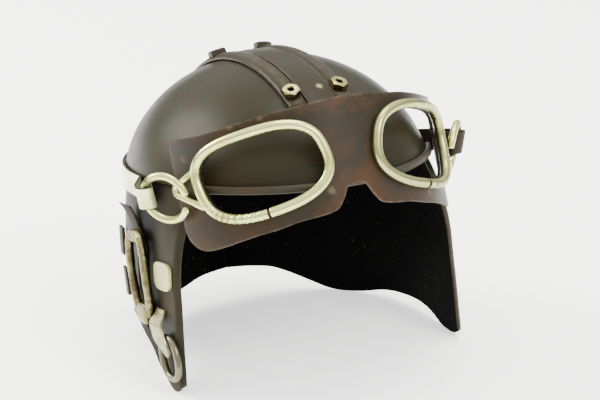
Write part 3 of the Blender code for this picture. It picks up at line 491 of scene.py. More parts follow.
dress("crown_band", panel_patches, [band_paint], "crown_panel", bevel=0.0003)


# Ribs: two hollow half round ribs beside the panel, brighter along their crests, partly rubbed paint
# and partly a painted highlight, each let down flat under its two nuts.
RIB_HALF_WIDTH = 0.0056
RIB_HEIGHT = 0.0030
NUT_ACROSS_FLATS = 0.0100
NUT_HEIGHT = 0.0040
NUT_SEAT_DEPTH = 0.0012
FRONT_NUT_Y = -0.0655
REAR_NUT_Y = 0.0370
RIB_ACROSS = PANEL_HALF_WIDTH + FIT_GAP + RIB_HALF_WIDTH
RIB_STEPS = 420
SEAT_REACH = 0.0072
SEAT_EASE = 0.0008
SIDES = (("right", -1.0), ("left", 1.0))


def nut_frame(across, along):
    """Seat of a nut on its rib: its middle and its normal."""
    height = math.sqrt(1.0 - (across / DOME_HALF_WIDTH) ** 2 - (along / DOME_HALF_LENGTH) ** 2)
    point = np.array((across, along, DOME_RISE * height - DOME_LEVEL_DROP))
    up = dome_normal(point)
    return point + up * (TRIM_GAP + RIB_HEIGHT - NUT_SEAT_DEPTH), up


def crown_rib(side):
    """Half round carried along the trim route: middle + width cos a across + height sin a up."""
    middle = side * RIB_ACROSS
    share = np.linspace(0.0, 1.0, RIB_STEPS)
    base, up = trim_route(np.full(RIB_STEPS, middle), np.full(RIB_STEPS, TRIM_GAP), share)
    along = unit(np.gradient(base, axis=0))
    across = unit(np.cross(up, along))
    up = np.cross(along, across)
    taper = np.clip(np.minimum(share, 1.0 - share) / 0.012, 0.0, 1.0)
    taper = np.sqrt(1.0 - (1.0 - taper) ** 2) * 0.8 + 0.2
    a = np.linspace(0.0, math.pi, 25)[None, :, None]
    width = (RIB_HALF_WIDTH * (0.7 + 0.3 * taper))[:, None, None]
    rise = (RIB_HEIGHT * taper)[:, None, None]
    grid = base[:, None] + across[:, None] * np.cos(a) * width + up[:, None] * np.sin(a) ** 0.8 * rise
    for place in (FRONT_NUT_Y, REAR_NUT_Y):
        seat, normal = nut_frame(middle, place)
        away = grid - seat
        over = away @ normal
        flat = np.linalg.norm(away - over[..., None] * normal, axis=-1)
        press = np.clip((SEAT_REACH - flat) / SEAT_EASE, 0.0, 1.0) * np.maximum(over, 0.0)
        grid = grid - press[..., None] * normal
    foot = np.stack([grid[:, 0], grid[:, -1]])
    ends = [patch(np.stack([row, 0.0 * row + (row[0] + row[-1]) / 2.0])) for row in (grid[0], grid[-1])]
    # Lighter crest: rubbed paint and a painted highlight along the top of each rib.
    crest_rub_and_highlight = 0.30 * np.broadcast_to(np.sin(a[..., 0]) ** 6, grid.shape[:2])
    return [patch(grid, edge=crest_rub_and_highlight), patch(foot)] + ends


rib_paint = painted_sheet(
    "rib_paint", (0.0175, 0.0145, 0.0080), (0.030, 0.0145, 0.0058), (0.026, 0.0255, 0.0155), (0.075, 0.064, 0.036)
)
for word, side in SIDES:
    dress("crown_rib_bar_" + word, crown_rib(side), [rib_paint], "crown_rib_" + word)


# Nuts: plain hexagon nuts with a turned chamfer, brass bright on the front pair's faces and gone
# brown on the rear pair, the walls of each hole darkened as painted shade.
def brass_group():
    """Brass that goes from pale gold to brown where it is tarnished, with fine casting marks."""
    tree, source, target = new_group(
        "old_brass",
        [("Vector", "vector"), ("Base", "colour"), ("Warm", "colour"), ("Dark", "colour"), ("Tarnish", "value")],
        [("Colour", "colour"), ("Roughness", "value"), ("Height", "value")],
    )
    clouds = noise(tree, source["Vector"], 75.0, 4.0, 0.6)
    fine = noise(tree, source["Vector"], 520.0, 3.0, 0.65)
    colour = blend_colour(tree, ramp(tree, clouds, 0.42, 0.66, 0.0, 0.8), source["Base"], source["Warm"])
    amount = source["Tarnish"]
    for pattern, strength in ((clouds, 0.7), (fine, 0.5)):
        swing = times(tree, combine(tree, "SUBTRACT", pattern, 0.5), strength)
        amount = combine(tree, "ADD", amount, swing)
    gone = times(tree, ramp(tree, amount, 0.30, 0.80), ramp(tree, source["Tarnish"], 0.0, 0.15))
    colour = blend_colour(tree, gone, colour, source["Dark"])
    pits = ramp(tree, fine, 0.64, 0.74, 0.0, 0.22)
    colour = blend_colour(tree, pits, colour, source["Dark"])
    tree.links.new(colour, target["Colour"])
    rough = combine(tree, "ADD", ramp(tree, clouds, 0.3, 0.7, 0.26, 0.36), times(tree, gone, 0.25))
    tree.links.new(rough, target["Roughness"])
    height = combine(tree, "ADD", times(tree, fine, 0.5), times(tree, clouds, 0.8))
    tree.links.new(height, target["Height"])
    return tree


OLD_BRASS = brass_group()
NUT_STEPS = 120
NUT_FOOT = 0.0002


def brass(
    name, base=(0.60, 0.63, 0.25), warm=(0.46, 0.43, 0.13), dark=(0.050, 0.030, 0.009), metallic=1.0, bump=0.12
):
    """Pale brass that takes its brown tarnish from the piece's own tarnish value."""
    material, tree, shader, place = new_material(name)
    old = add_node(
        tree, "ShaderNodeGroup", {"node_tree": OLD_BRASS}, Vector=place, Base=(*base, 1.0),
        Warm=(*warm, 1.0), Dark=(*dark, 1.0), Tarnish=attribute(tree, "tarnish"),
    )
    relief = add_node(tree, "ShaderNodeBump", None, Strength=bump, Distance=0.0005, Height=old.outputs["Height"])
    drive_shader(tree, shader, old.outputs["Colour"], old.outputs["Roughness"], relief)
    shader.inputs["Metallic"].default_value = metallic
    return material


def hex_nut(seat, up, stain_face, stain_side):
    """Rings of a nut: bore, countersink, face, 30 degree chamfer cut by the hexagon, side, base."""
    turn = np.linspace(0.0, 2.0 * math.pi, NUT_STEPS, endpoint=False)
    even = np.ones(NUT_STEPS)
    sector = np.mod(turn, math.pi / 3.0) - math.pi / 6.0
    flat = NUT_ACROSS_FLATS / 2.0
    hexagon = flat / np.cos(sector)
    bore, sink, face = 0.0018, 0.0027, flat * 0.84
    fall = math.tan(math.radians(30.0))
    rings = [(bore * even, 0.0 * even), (bore * even, (NUT_HEIGHT - 0.0007) * even),
             (sink * even, NUT_HEIGHT * even), (face * even, NUT_HEIGHT * even)]
    for share in (0.35, 0.7, 1.0):
        radius = face + (hexagon - face) * share
        rings.append((radius, NUT_HEIGHT - (radius - face) * fall))
    rings += [(hexagon, NUT_FOOT * even), (hexagon - NUT_FOOT, 0.0 * even)]
    side = unit(np.cross(up, (1.0, 0.0, 0.0)))
    other = np.cross(up, side)
    base = seat + up * FIT_GAP
    grid = np.stack([
        base + (np.cos(turn)[:, None] * side + np.sin(turn)[:, None] * other) * radius[:, None] + up * height[:, None]
        for radius, height in rings
    ])
    # Tarnish per ring; the full darkening of the hole's walls is painted shade.
    stain = np.array((1.0, 0.9, stain_face, stain_face, stain_face, stain_side * 0.5, stain_side, stain_side, 1.0))
    return [patch(grid, around=True, along=True, tarnish=np.broadcast_to(stain[:, None], grid.shape[:2]))]


bright_nut = brass("nut_brass", (0.34, 0.34, 0.15), (0.24, 0.22, 0.08))
brown_nut = brass("brown_nut_metal", (0.050, 0.030, 0.016), (0.10, 0.042, 0.018), (0.020, 0.013, 0.008), 0.3)
for word, side in SIDES:
    for pair, place, metal, stain in (
        ("front", FRONT_NUT_Y, bright_nut, 0.12), ("rear", REAR_NUT_Y, brown_nut, 0.4)
    ):
        nut = hex_nut(*nut_frame(side * RIB_ACROSS, place), stain, 0.85)
        dress(pair + "_hexagon_" + word, nut, [metal], pair + "_nut_" + word, sharp=24.0)


# Neck guard: two halves of painted sheet butted at the nape, each with its ear flap, the flap's
# front edge folded in. Brown grey outside with a soft near black band of painted shade round the fittings, black
# inside.
GUARD_DEPTH = 0.1233
GUARD_LAP = 0.0070
GUARD_WIDENING = 0.0094
NAPE_TUCK = 0.0240
FLAP_STRAIGHTENING = 0.4350
FORWARD_STEP = 0.0018
FLAP_TURN = 90.0 + 0.0472 / FORWARD_STEP
FLAP_TOP_REACH = 0.0110
FLAP_TOP_DEPTH = 0.0360
FLANGE_WIDTH = 0.0054
FLANGE_FOLD = math.radians(50.0)
SECTION_DROP = np.array((0.0, 0.15, 0.29, 0.44, 0.58, 0.73, 0.88, 1.0))
SECTION_WIDEN = np.array((0.0, 0.49, 0.77, 0.89, 0.89, 0.92, 0.96, 1.0))
SECTION_TUCK = np.array((0.0, -0.03, 0.06, 0.18, 0.36, 0.58, 0.82, 1.0))
SECTION_STRAIGHT = np.array((0.0, 0.07, 0.18, 0.42, 0.63, 1.0, 1.0, 1.0))
RIGHT_TURNS = np.array((0.0, 0.10, 0.18, 0.27, 0.38, 0.50, 0.60, 0.68, 0.77, 0.82, 0.86, 0.91, 0.95, 0.98, 1.0))
RIGHT_DROPS = np.array((
    0.722, 0.737, 0.766, 0.790, 0.795, 0.768, 0.728, 0.722, 0.787, 0.840, 0.905, 0.962, 0.998, 0.998, 0.980
))
LEFT_TURNS = np.array((0.0, 0.10, 0.17, 0.28, 0.33, 0.38, 0.46, 0.56, 0.64, 0.78, 0.84, 0.88, 0.93, 0.97, 1.0))
LEFT_DROPS = np.array((
    0.722, 0.737, 0.759, 0.839, 0.875, 0.894, 0.898, 0.883, 0.887, 0.913, 0.945, 0.980, 1.000, 0.998, 0.975
))
DOME_LAP_GAP = 0.0004
# Turns between which the flaps carry painted shade, with the width of each soft fade.
PAINTED_SHADE_BACK, PAINTED_SHADE_BACK_EASE = 56.0, 14.0
PAINTED_SHADE_FRONT, PAINTED_SHADE_FRONT_EASE = 108.0, 9.0
LOWER_EDGE_WEAR = 0.55
FRONT_EDGE_WEAR = 0.25


def eased(keys, values, at):
    """Curve through the rows of a table, each stretch a cubic with the slopes of its neighbours."""
    at = np.clip(at, keys[0], keys[-1])
    low = np.clip(np.searchsorted(keys, at, side="left") - 1, 0, len(keys) - 2)
    before, after = np.maximum(low - 1, 0), np.minimum(low + 2, len(keys) - 1)
    span = keys[low + 1] - keys[low]
    t = (at - keys[low]) / span
    slope_in = (values[low + 1] - values[before]) / (keys[low + 1] - keys[before]) * span
    slope_out = (values[after] - values[low]) / (keys[after] - keys[low]) * span
    return ((2 * t ** 3 - 3 * t ** 2 + 1) * values[low] + (t ** 3 - 2 * t ** 2 + t) * slope_in
            + (3 * t ** 2 - 2 * t ** 3) * values[low + 1] + (t ** 3 - t ** 2) * slope_out)


def guard_plan(turn, height):
    """Guard's outer face on the left: an ellipse by degrees from the back, then steps forward."""
    turn, height = np.broadcast_arrays(np.asarray(turn, float), np.asarray(height, float))
    lap = np.maximum(height, 0.0)
    share = np.sqrt(1.0 - ((lap + DOME_LEVEL_DROP) / DOME_RISE) ** 2)
    side, back = DOME_HALF_WIDTH * share, DOME_HALF_LENGTH * share
    nought = np.zeros_like(side)
    inset = SHEET_WALL + FIT_GAP + DOME_LAP_GAP
    side = side - inset / dome_normal(np.stack([side, nought, lap], axis=-1))[..., 0]
    back = back - inset / dome_normal(np.stack([nought, back, lap], axis=-1))[..., 1]
    drop = np.maximum(0.0, -height / GUARD_DEPTH)
    front = back + FLAP_STRAIGHTENING * eased(SECTION_DROP, SECTION_STRAIGHT, drop)
    back = back - NAPE_TUCK * eased(SECTION_DROP, SECTION_TUCK, drop)
    side = side + GUARD_WIDENING * eased(SECTION_DROP, SECTION_WIDEN, drop)
    angle = np.radians(np.minimum(turn, 90.0))
    ahead = -np.maximum(turn - 90.0, 0.0) * FORWARD_STEP
    x = side * np.sin(angle) * np.sqrt(1.0 - (ahead / front) ** 2)
    return np.stack([x, back * np.cos(angle) + ahead, height], axis=-1)


def guard_normal(turn, height):
    """Outward normal of the guard's face, from its slopes along and down."""
    along = guard_plan(turn + 0.5, height) - guard_plan(turn - 0.5, height)
    down = guard_plan(turn, height - 0.0018) - guard_plan(turn, height + 0.0018)
    return unit(np.cross(along, down))


def guard_point(turn, height, lift=0.0, side=1.0):
    """Point over the guard's outer face at one side, raised along its normal."""
    turn, height = np.asarray(turn, float), np.asarray(height, float)
    point = guard_plan(turn, height) + guard_normal(turn, height) * np.asarray(lift, float)[..., None]
    return point * (side, 1.0, 1.0)


def guard_half(side, turns, drops):
    """Outer face by share of turn and of depth, carried round the folded front edge, and its wall."""
    share = np.linspace(0.0, 1.0, 170)
    turn = FLAP_TURN * share
    bottom = -GUARD_DEPTH * eased(turns, drops, share)
    down = np.concatenate([[0.0], np.linspace(0.0, 1.0, 72)])
    height = down[:, None] * bottom[None, :]
    height[0] = GUARD_LAP
    ahead = np.clip((turn - 90.0) / (FLAP_TURN - 90.0), 0.0, 1.0)[None, :]
    near_top = np.clip(1.0 + np.minimum(height, 0.0) / FLAP_TOP_DEPTH, 0.0, 1.0)
    outer = guard_plan(turn + FLAP_TOP_REACH / FORWARD_STEP * ahead ** 2 * near_top ** 2, height)
    outer[:, 0, 0] = 0.00001
    fold = np.linspace(0.0, 1.0, 9)[1:]
    ahead = unit(outer[:, -1] - outer[:, -2])
    reach = FLANGE_WIDTH * fold
    angle = -FLANGE_FOLD * np.minimum(1.0, fold * 1.8)
    lean = np.cumsum(np.diff(np.concatenate([[0.0], reach]))[None, :, None] * np.stack([
        ahead[:, None, 0] * np.cos(angle) - ahead[:, None, 1] * np.sin(angle),
        ahead[:, None, 0] * np.sin(angle) + ahead[:, None, 1] * np.cos(angle),
        np.zeros((len(ahead), len(angle))),
    ], axis=-1), axis=1)
    rise = 0.45 * FLANGE_WIDTH * fold[None, :] * down[:, None] ** 10
    flange = outer[:, -1:] + lean + np.stack([0.0 * rise, 0.0 * rise, rise], axis=-1)
    outer = np.concatenate([outer, flange], axis=1)
    step_along, step_down = np.gradient(outer, axis=1), np.gradient(outer, axis=0)
    normal = unit(np.cross(step_along, step_down))
    inner = outer - normal * SHEET_WALL
    flip = np.array((side, 1.0, 1.0))
    return outer * flip, inner * flip, np.concatenate([turn, FLAP_TURN + reach / FORWARD_STEP])


guard_paint = painted_sheet(
    "guard_paint", (0.022, 0.0205, 0.0135), (0.026, 0.0165, 0.0090), (0.030, 0.0295, 0.0210),
    (0.10, 0.060, 0.030), 0.03,
)
for word, side, turns, drops in (
    ("right", -1.0, RIGHT_TURNS, RIGHT_DROPS), ("left", 1.0, LEFT_TURNS, LEFT_DROPS)
):
    outer, inner, turn = guard_half(side, turns, drops)
    rows, columns = outer.shape[:2]
    # Painted shade on each flap between its ear loop and clip, faded in and out by turn.
    sooty = np.clip((turn - PAINTED_SHADE_BACK) / PAINTED_SHADE_BACK_EASE, 0.0, 1.0)
    sooty = sooty * np.clip((PAINTED_SHADE_FRONT - turn) / PAINTED_SHADE_FRONT_EASE, 0.0, 1.0)
    sooty = (sooty ** 2 * (3.0 - 2.0 * sooty))[None, :] + np.zeros((rows, columns))
    edge = np.clip(1.0 - (rows - 1 - np.arange(rows))[:, None] / 1.6, 0.0, 1.0) * LOWER_EDGE_WEAR
    edge = np.maximum(edge, np.clip(np.arange(columns) - columns + 2, 0.0, 1.0)[None, :] * FRONT_EDGE_WEAR)
    patches = sheet_patches(outer, inner, 1, edge=edge + np.zeros((rows, columns)), sooty=sooty)
    dress("guard_sheet_" + word, patches, [guard_paint, inside_paint], "neck_guard_" + word, bevel=0.0004)


# Goggle plate: one flat sheet cut with a nose notch and two eye openings, then bent round the
# brow. Dark brown, its edges rubbed to bare rust brown, with a few pale rubbed spots; its back and eye opening walls
# near black as painted shade.
PLATE_HALF_WIDTH = 0.0900
PLATE_HALF_LENGTH = 0.0945
PLATE_LEAN = 0.26
PLATE_SPAN = 0.1134
PLATE_TOP = 0.0495
RIM_WIRE = 0.0030
RIM_HALF_LENGTH = 0.0402
RIM_HALF_HEIGHT = 0.0225
RIM_CENTRE = (0.0553, 0.0113)
RIM_TILT = math.radians(15.5)
RIM_SQUARENESS = 2.7
EYE_MARGIN = 0.0020
PLATE_WELD = 0.00001
PLATE_OUTLINE = np.array((
    (0.000, 0.00), (0.045, -0.01), (0.085, -0.15), (0.135, -0.27), (0.340, -0.36), (0.450, -0.43),
    (0.560, -0.49), (0.680, -0.57), (0.780, -0.64), (0.880, -0.69), (0.950, -0.66), (1.000, -0.56),
    (1.015, -0.40), (1.015, 0.48), (0.995, 0.56), (0.950, 0.60), (0.870, 0.63), (0.740, 0.69),
    (0.560, 0.80), (0.400, 0.89), (0.230, 0.95), (0.100, 0.99), (0.000, 1.00),
)) * (PLATE_SPAN, PLATE_TOP)


def plate_point(along, up, lift=0.0):
    """Flat pattern bent: plan angle found by arc length on an ellipse, leaned back with height."""
    along, up = np.broadcast_arrays(np.asarray(along, float), np.asarray(up, float))
    angles = np.radians(np.linspace(0.0, 120.0, 721))
    plan = np.stack([PLATE_HALF_WIDTH * np.sin(angles), -PLATE_HALF_LENGTH * np.cos(angles)], axis=-1)
    lengths = np.concatenate([[0.0], np.cumsum(np.linalg.norm(np.diff(plan, axis=0), axis=-1))])
    angle = np.interp(np.abs(along), lengths, angles)
    sign = np.where(along < 0.0, -1.0, 1.0)
    bead = DOME_HALF_LENGTH * math.sqrt(1.0 - (DOME_LEVEL_DROP / DOME_RISE) ** 2) + BEAD_OUT
    front = bead + (BEAD_RADIUS + FIT_GAP + SHEET_WALL) * math.hypot(1.0, PLATE_LEAN)
    point = np.stack([
        sign * PLATE_HALF_WIDTH * np.sin(angle),
        PLATE_HALF_LENGTH - front - PLATE_HALF_LENGTH * np.cos(angle) + PLATE_LEAN * up, up,
    ], axis=-1)
    level_y = -np.cos(angle) / PLATE_HALF_LENGTH
    level_x = sign * np.sin(angle) / PLATE_HALF_WIDTH
    normal = unit(np.stack([level_x, level_y, -PLATE_LEAN * level_y], axis=-1))
    return point + normal * np.asarray(lift, float)[..., None], normal


def rim_outline(angle, inward=0.0):
    """Squared oval, |x/a|^n + |y/b|^n = 1, tilted down outward: its flat along and up."""
    c, s = np.cos(angle), np.sin(angle)
    u = np.sign(c) * np.abs(c) ** (2.0 / RIM_SQUARENESS) * (RIM_HALF_LENGTH - inward)
    v = np.sign(s) * np.abs(s) ** (2.0 / RIM_SQUARENESS) * (RIM_HALF_HEIGHT - inward)
    along = RIM_CENTRE[0] + u * math.cos(RIM_TILT) + v * math.sin(RIM_TILT)
    return along, RIM_CENTRE[1] - u * math.sin(RIM_TILT) + v * math.cos(RIM_TILT)


def polar_reach(outline, heading):
    """Distance from the eye's middle to a closed outline at each heading, by its crossing edge."""
    start = outline - RIM_CENTRE
    end = np.roll(start, -1, axis=0)
    d = np.stack([np.cos(heading), np.sin(heading)], axis=-1)[:, None]
    edge = (end - start)[None]
    cross = d[..., 0] * edge[..., 1] - d[..., 1] * edge[..., 0]
    cross = np.where(np.abs(cross) < 1e-12, 1e-12, cross)
    far = (start[None, :, 0] * edge[..., 1] - start[None, :, 1] * edge[..., 0]) / cross
    where = (start[None, :, 0] * d[..., 1] - start[None, :, 1] * d[..., 0]) / cross
    hit = (far > 0.0) & (where >= -1e-9) & (where <= 1.0 + 1e-9)
    return np.where(hit, far, 1.0).min(axis=1)


def edge_distance(along, up, line):
    """Shortest distance of each flat point to a dense outline."""
    flat = np.stack([along.ravel(), up.ravel()], axis=-1)
    gaps = np.linalg.norm(flat[:, None] - line[None], axis=-1)
    return gaps.min(axis=1).reshape(along.shape)


def goggle_plate():
    """Each half spreads in rings from its eye opening to the outline; the halves meet at the nose."""
    knots = np.concatenate([[0.0], np.cumsum(np.linalg.norm(np.diff(PLATE_OUTLINE, axis=0), axis=-1))])
    dense = np.linspace(0.0, knots[-1], 900)
    line = np.stack([eased(knots, PLATE_OUTLINE[:, i], dense) for i in range(2)], axis=-1)
    line[:, 0] = np.maximum(line[:, 0], 0.0)
    centre_line = np.stack([np.zeros(60), np.linspace(PLATE_TOP, 0.0, 62)[1:-1]], axis=-1)
    closed = np.concatenate([line, centre_line])
    heading = np.linspace(0.0, 2.0 * math.pi, 560, endpoint=False)
    hole = np.stack(rim_outline(np.linspace(0.0, 2.0 * math.pi, 900, endpoint=False), EYE_MARGIN), axis=-1)
    inner_reach, outer_reach = polar_reach(hole, heading), polar_reach(closed, heading)
    share = np.concatenate([[0.0, 0.02, 0.05], np.linspace(0.1, 0.9, 22), [0.95, 0.98, 1.0]])[:, None]
    reach = inner_reach + (outer_reach - inner_reach) * share
    along = RIM_CENTRE[0] + reach * np.cos(heading)
    up = RIM_CENTRE[1] + reach * np.sin(heading)
    along[-1] = np.where(along[-1] < 0.00002, 0.0, along[-1])
    patches = []
    outer_gap = edge_distance(along, up, line[::3])
    edge = np.clip(1.0 - outer_gap / 0.0012, 0.0, 1.0) * 0.65
    nose = np.clip(1.0 - np.abs(along - 0.006) / 0.030, 0.0, 1.0)
    aged = np.clip(1.0 - outer_gap / (0.0050 + 0.0060 * nose), 0.0, 1.0) ** 0.5 * (0.35 + 0.65 * nose)
    for side in (-1.0, 1.0):
        front, _ = plate_point(side * along, up)
        back, _ = plate_point(side * along, up, -SHEET_WALL)
        rub = np.zeros_like(along)
        for place, height, size in PLATE_SPOTS:
            if place * side > 0.0:
                gap = np.hypot(side * along - place, up - height)
                rub = np.maximum(rub, np.clip(1.5 - 1.5 * gap / size, 0.0, 1.0))
        on_nose = (along[-1] == 0.0)
        skip = (on_nose & np.roll(on_nose, -1))[None, :]
        rubbed = np.where(on_nose, 0.0, 0.8)[None, :]
        patches += [
            patch(front, around=True, edge=edge, rub=rub * 0.8, aged=aged), patch(back, slot=1, around=True),
            patch(np.stack([front[0], back[0]]), slot=1, around=True),
            patch(np.stack([front[-1], back[-1]]), around=True, skip=skip, edge=rubbed),
        ]
    return patches


PLATE_SPOTS = ((-0.1050, 0.0185, 0.0030), (-0.0690, 0.0390, 0.0036), (-0.0500, 0.0430, 0.0030),
               (-0.0160, -0.0020, 0.0032), (0.0580, -0.0165, 0.0030), (0.0850, 0.0260, 0.0026))
plate_paint = painted_sheet(
    "plate_paint", (0.0185, 0.0145, 0.0095), (0.040, 0.0190, 0.0070), (0.034, 0.031, 0.030),
    (0.085, 0.064, 0.040), 0.15, 0.3,
)
# Back face and walls of the eye openings: painted shade, near black.
plate_back_shade = painted_sheet(
    "plate_back_paint", (0.008, 0.007, 0.005), (0.014, 0.009, 0.005), (0.012, 0.012, 0.010), (0.05, 0.035, 0.02)
)
dress(
    "mask_sheet", goggle_plate(), [plate_paint, plate_back_shade], "goggle_plate", bevel=0.0003, weld=PLATE_WELD
)


# Goggle rims: round brass wire bent to each eye opening and butted under it, with the side loop
# that takes the jump ring brazed on. Brown and lumpy where the braze ran; the far rim's brass is darker as painted
# shade.
LOOP_WIRE = 0.0019
LOOP_ROOT = 0.0930
LOOP_POINT = 0.1130
LOOP_LOW_HEIGHT = -0.0080
LOOP_HIGH_HEIGHT = 0.0135
LOOP_SWEEP = math.radians(130.0)
LOOP_STEPS = 90
RIM_STEPS = 720
RIM_SIDES = 24


def smooth_path(points, count):
    """Points spread evenly along a polyline after its corners are eased by a rounded curve."""
    points = np.asarray(points, float)
    lengths = np.concatenate([[0.0], np.cumsum(np.linalg.norm(np.diff(points, axis=0), axis=-1))])
    at = np.linspace(0.0, lengths[-1], count)
    return np.stack([eased(lengths, points[:, i], at) for i in range(points.shape[1])], axis=-1)


def near_mark(points, places, reach):
    """1 at any of the places, falling to 0 at a reach from it."""
    gaps = np.linalg.norm(points[..., None, :] - np.asarray(places), axis=-1).min(axis=-1)
    return np.clip(1.0 - gaps / reach, 0.0, 1.0)


def goggle_rim(side, butt, rough):
    """Closed wire on the plate, pinched at its butt joint and lumpy along the rough stretch."""
    lift = FIT_GAP + RIM_WIRE
    angle = np.linspace(0.0, 2.0 * math.pi, RIM_STEPS, endpoint=False)
    along, up = rim_outline(angle)
    path, normal = plate_point(side * along, up, lift)
    joint, _ = plate_point(np.array([side * butt[0]]), np.array([butt[1]]), lift)
    start, _ = plate_point(np.array([side * rough[0]]), np.array([rough[1]]), lift)
    joint = path[[np.argmin(np.linalg.norm(path - joint[0], axis=-1))]]
    gap = np.linalg.norm(path - joint[0], axis=-1)
    uneven = np.clip(1.0 - np.linalg.norm(path - start[0], axis=-1) / rough[2], 0.0, 1.0) ** 0.5
    lumps = 0.05 * np.sin(angle * 61.0) + 0.05 * np.sin(angle * 97.0 + 1.0) - 0.06
    radius = RIM_WIRE * (1.0 + uneven * lumps - 0.30 * np.exp(-(gap / 0.00060) ** 2))
    grid = tube(path, normal, radius, RIM_SIDES, closed=True)
    bands = 0.5 + 0.5 * np.sin(angle * 47.0)
    stain = np.clip(1.3 * np.exp(-(gap / 0.0009) ** 2) + uneven * (0.30 + 0.30 * bands), 0.0, 1.0)
    bend = 1.6 * LOOP_WIRE
    sweep = LOOP_SWEEP * np.linspace(-0.5, 0.5, 9)
    flat = np.concatenate([
        [(LOOP_ROOT, LOOP_LOW_HEIGHT)],
        np.stack([LOOP_POINT - bend + bend * np.cos(sweep), bend * np.sin(sweep)], axis=-1),
        [(LOOP_ROOT, LOOP_HIGH_HEIGHT)],
    ])
    flat = smooth_path(flat, LOOP_STEPS)
    loop, facing = plate_point(side * flat[:, 0], flat[:, 1], lift)
    steps = np.arange(LOOP_STEPS)
    ends = np.minimum(steps, steps[::-1]) / 12.0
    loop_radius = LOOP_WIRE * (1.0 + 0.30 * np.exp(-ends ** 2))
    loop_grid = tube(loop, facing, loop_radius, WIRE_SIDES)
    roots = np.stack([loop[0], loop[-1]])
    stain_rim = np.maximum(stain[:, None], 0.55 * near_mark(grid, roots, 0.006))
    return [
        patch(grid, around=True, along=True, tarnish=stain_rim),
        patch(loop_grid, around=True, tarnish=0.6 * near_mark(loop_grid, roots, 0.006)),
    ]


rim_brass = brass("rim_brass")
# Darker copy of the rim brass for the far rim: painted shade.
shaded_far_brass = brass("far_rim_brass_shaded", (0.38, 0.38, 0.16), (0.27, 0.24, 0.085))
for word, side, butt, rough, metal in (
    ("right", -1.0, (0.0540, -0.0095), (0.0740, -0.0105, 0.022), rim_brass),
    ("left", 1.0, (0.0500, -0.0105), (0.0620, -0.0140, 0.014), shaded_far_brass),
):
    dress("goggle_wire_" + word, goggle_rim(side, butt, rough), [metal], "goggle_rim_" + word, sharp=WIRE_SHARP)


# Jump rings: open rings of brass wire that hang in the side loops and carry the strap.
RING_RADIUS = 0.0144
RING_WIRE = 0.0023
RING_PLACE = (0.0952, -0.0539, -0.0028)
RING_SWING = math.radians(-54.0)
RING_LEAN = math.radians(14.0)
RING_OPEN = (math.radians(-30.0), math.radians(12.0))
RING_STEPS = 150
RING_STAIN_AT = 2.3


def ring_frame(side):
    """Middle of a ring, its level axis toward the goggle and its leaning, rising axis."""
    level = np.array((-side * math.cos(RING_SWING), math.sin(RING_SWING), 0.0))
    outward = np.array((-side * math.sin(RING_SWING), -math.cos(RING_SWING), 0.0))
    rising = np.array((0.0, 0.0, math.cos(RING_LEAN))) + outward * math.sin(RING_LEAN)
    return np.array(RING_PLACE) * (side, 1.0, 1.0), level, rising


for word, side in SIDES:
    middle, level, rising = ring_frame(side)
    angle = np.linspace(RING_OPEN[1], 2.0 * math.pi + RING_OPEN[0], RING_STEPS)[:, None]
    route = middle + (level * np.cos(angle) + rising * np.sin(angle)) * RING_RADIUS
    grid = tube(route, np.tile(np.cross(level, rising), (RING_STEPS, 1)), RING_WIRE, WIRE_SIDES)
    stained = middle + (level * math.cos(RING_STAIN_AT) + rising * math.sin(RING_STAIN_AT)) * RING_RADIUS
    stain = 0.9 * near_mark(grid, [stained], 0.010)
    wire = [patch(grid, around=True, tarnish=stain)]
    dress("ring_wire_" + word, wire, [rim_brass], "jump_ring_" + word, sharp=WIRE_SHARP)


# Goggle strap: a flat band round the back of the dome's edge, each end folded round its jump
# ring. Pale gold on its face near the right ring, its edges dark.
STRAP_WALL = 0.0012
STRAP_HALF_HEIGHT = 0.0070
STRAP_HEIGHT = -0.0052
STRAP_RETURN = 0.0110
STRAP_SEAT_TURN = 91.0
STRAP_CLEARANCE = 0.0004
STRAP_STEPS = 620
STRAP_ROWS = 13


def strap_edges(turn):
    """Upper edge against the dome and lower edge against the guard, at turns either side of 0."""
    side = np.where(turn < 0.0, -1.0, 1.0)
    outward = FIT_GAP + STRAP_CLEARANCE + STRAP_WALL / 2.0
    low = STRAP_HEIGHT - STRAP_HALF_HEIGHT
    upper = edge_point(np.abs(turn), outward)
    lower = guard_point(np.abs(turn), np.full_like(turn, low), np.full_like(turn, outward))
    nearer = np.linalg.norm(lower[:, :2], axis=-1) < np.linalg.norm(upper[:, :2], axis=-1)
    lower = np.where(nearer[:, None], upper, lower)
    lower[:, 2] = low
    upper[:, 2] = STRAP_HEIGHT + STRAP_HALF_HEIGHT
    flip = np.stack([side, np.ones_like(side), np.ones_like(side)], axis=-1)
    return upper * flip, lower * flip


def strap_fold(side):
    """Tail, half turn round the ring's wire, and start of the run back to the dome."""
    middle, level, rising = ring_frame(side)
    held = middle - level * RING_RADIUS
    seat = strap_edges(np.array([side * STRAP_SEAT_TURN]))[0][0]
    back = unit(np.array((seat[0] - held[0], seat[1] - held[1], 0.0)))
    inward = np.array((-side * back[1], side * back[0], 0.0))
    sag = RING_RADIUS - math.sqrt(RING_RADIUS ** 2 - STRAP_HALF_HEIGHT ** 2)
    slope = math.sqrt(1.0 - (STRAP_HALF_HEIGHT / RING_RADIUS) ** 2)
    radius = (RING_WIRE / slope + FIT_GAP + (STRAP_WALL + sag) / 2.0) / math.cos(RING_LEAN)
    centre = held + level * (sag / 2.0)
    angle = np.linspace(0.0, math.pi, 25)[:, None]
    tail = centre + inward * radius + back * np.linspace(STRAP_RETURN, 0.001, 8)[:, None]
    bend = centre + (inward * np.cos(angle) - back * np.sin(angle)) * radius
    run = centre - inward * radius + back * np.linspace(0.001, STRAP_RETURN, 8)[:, None]
    route = np.concatenate([tail, bend, run])
    return route + rising * STRAP_HALF_HEIGHT, route - rising * STRAP_HALF_HEIGHT


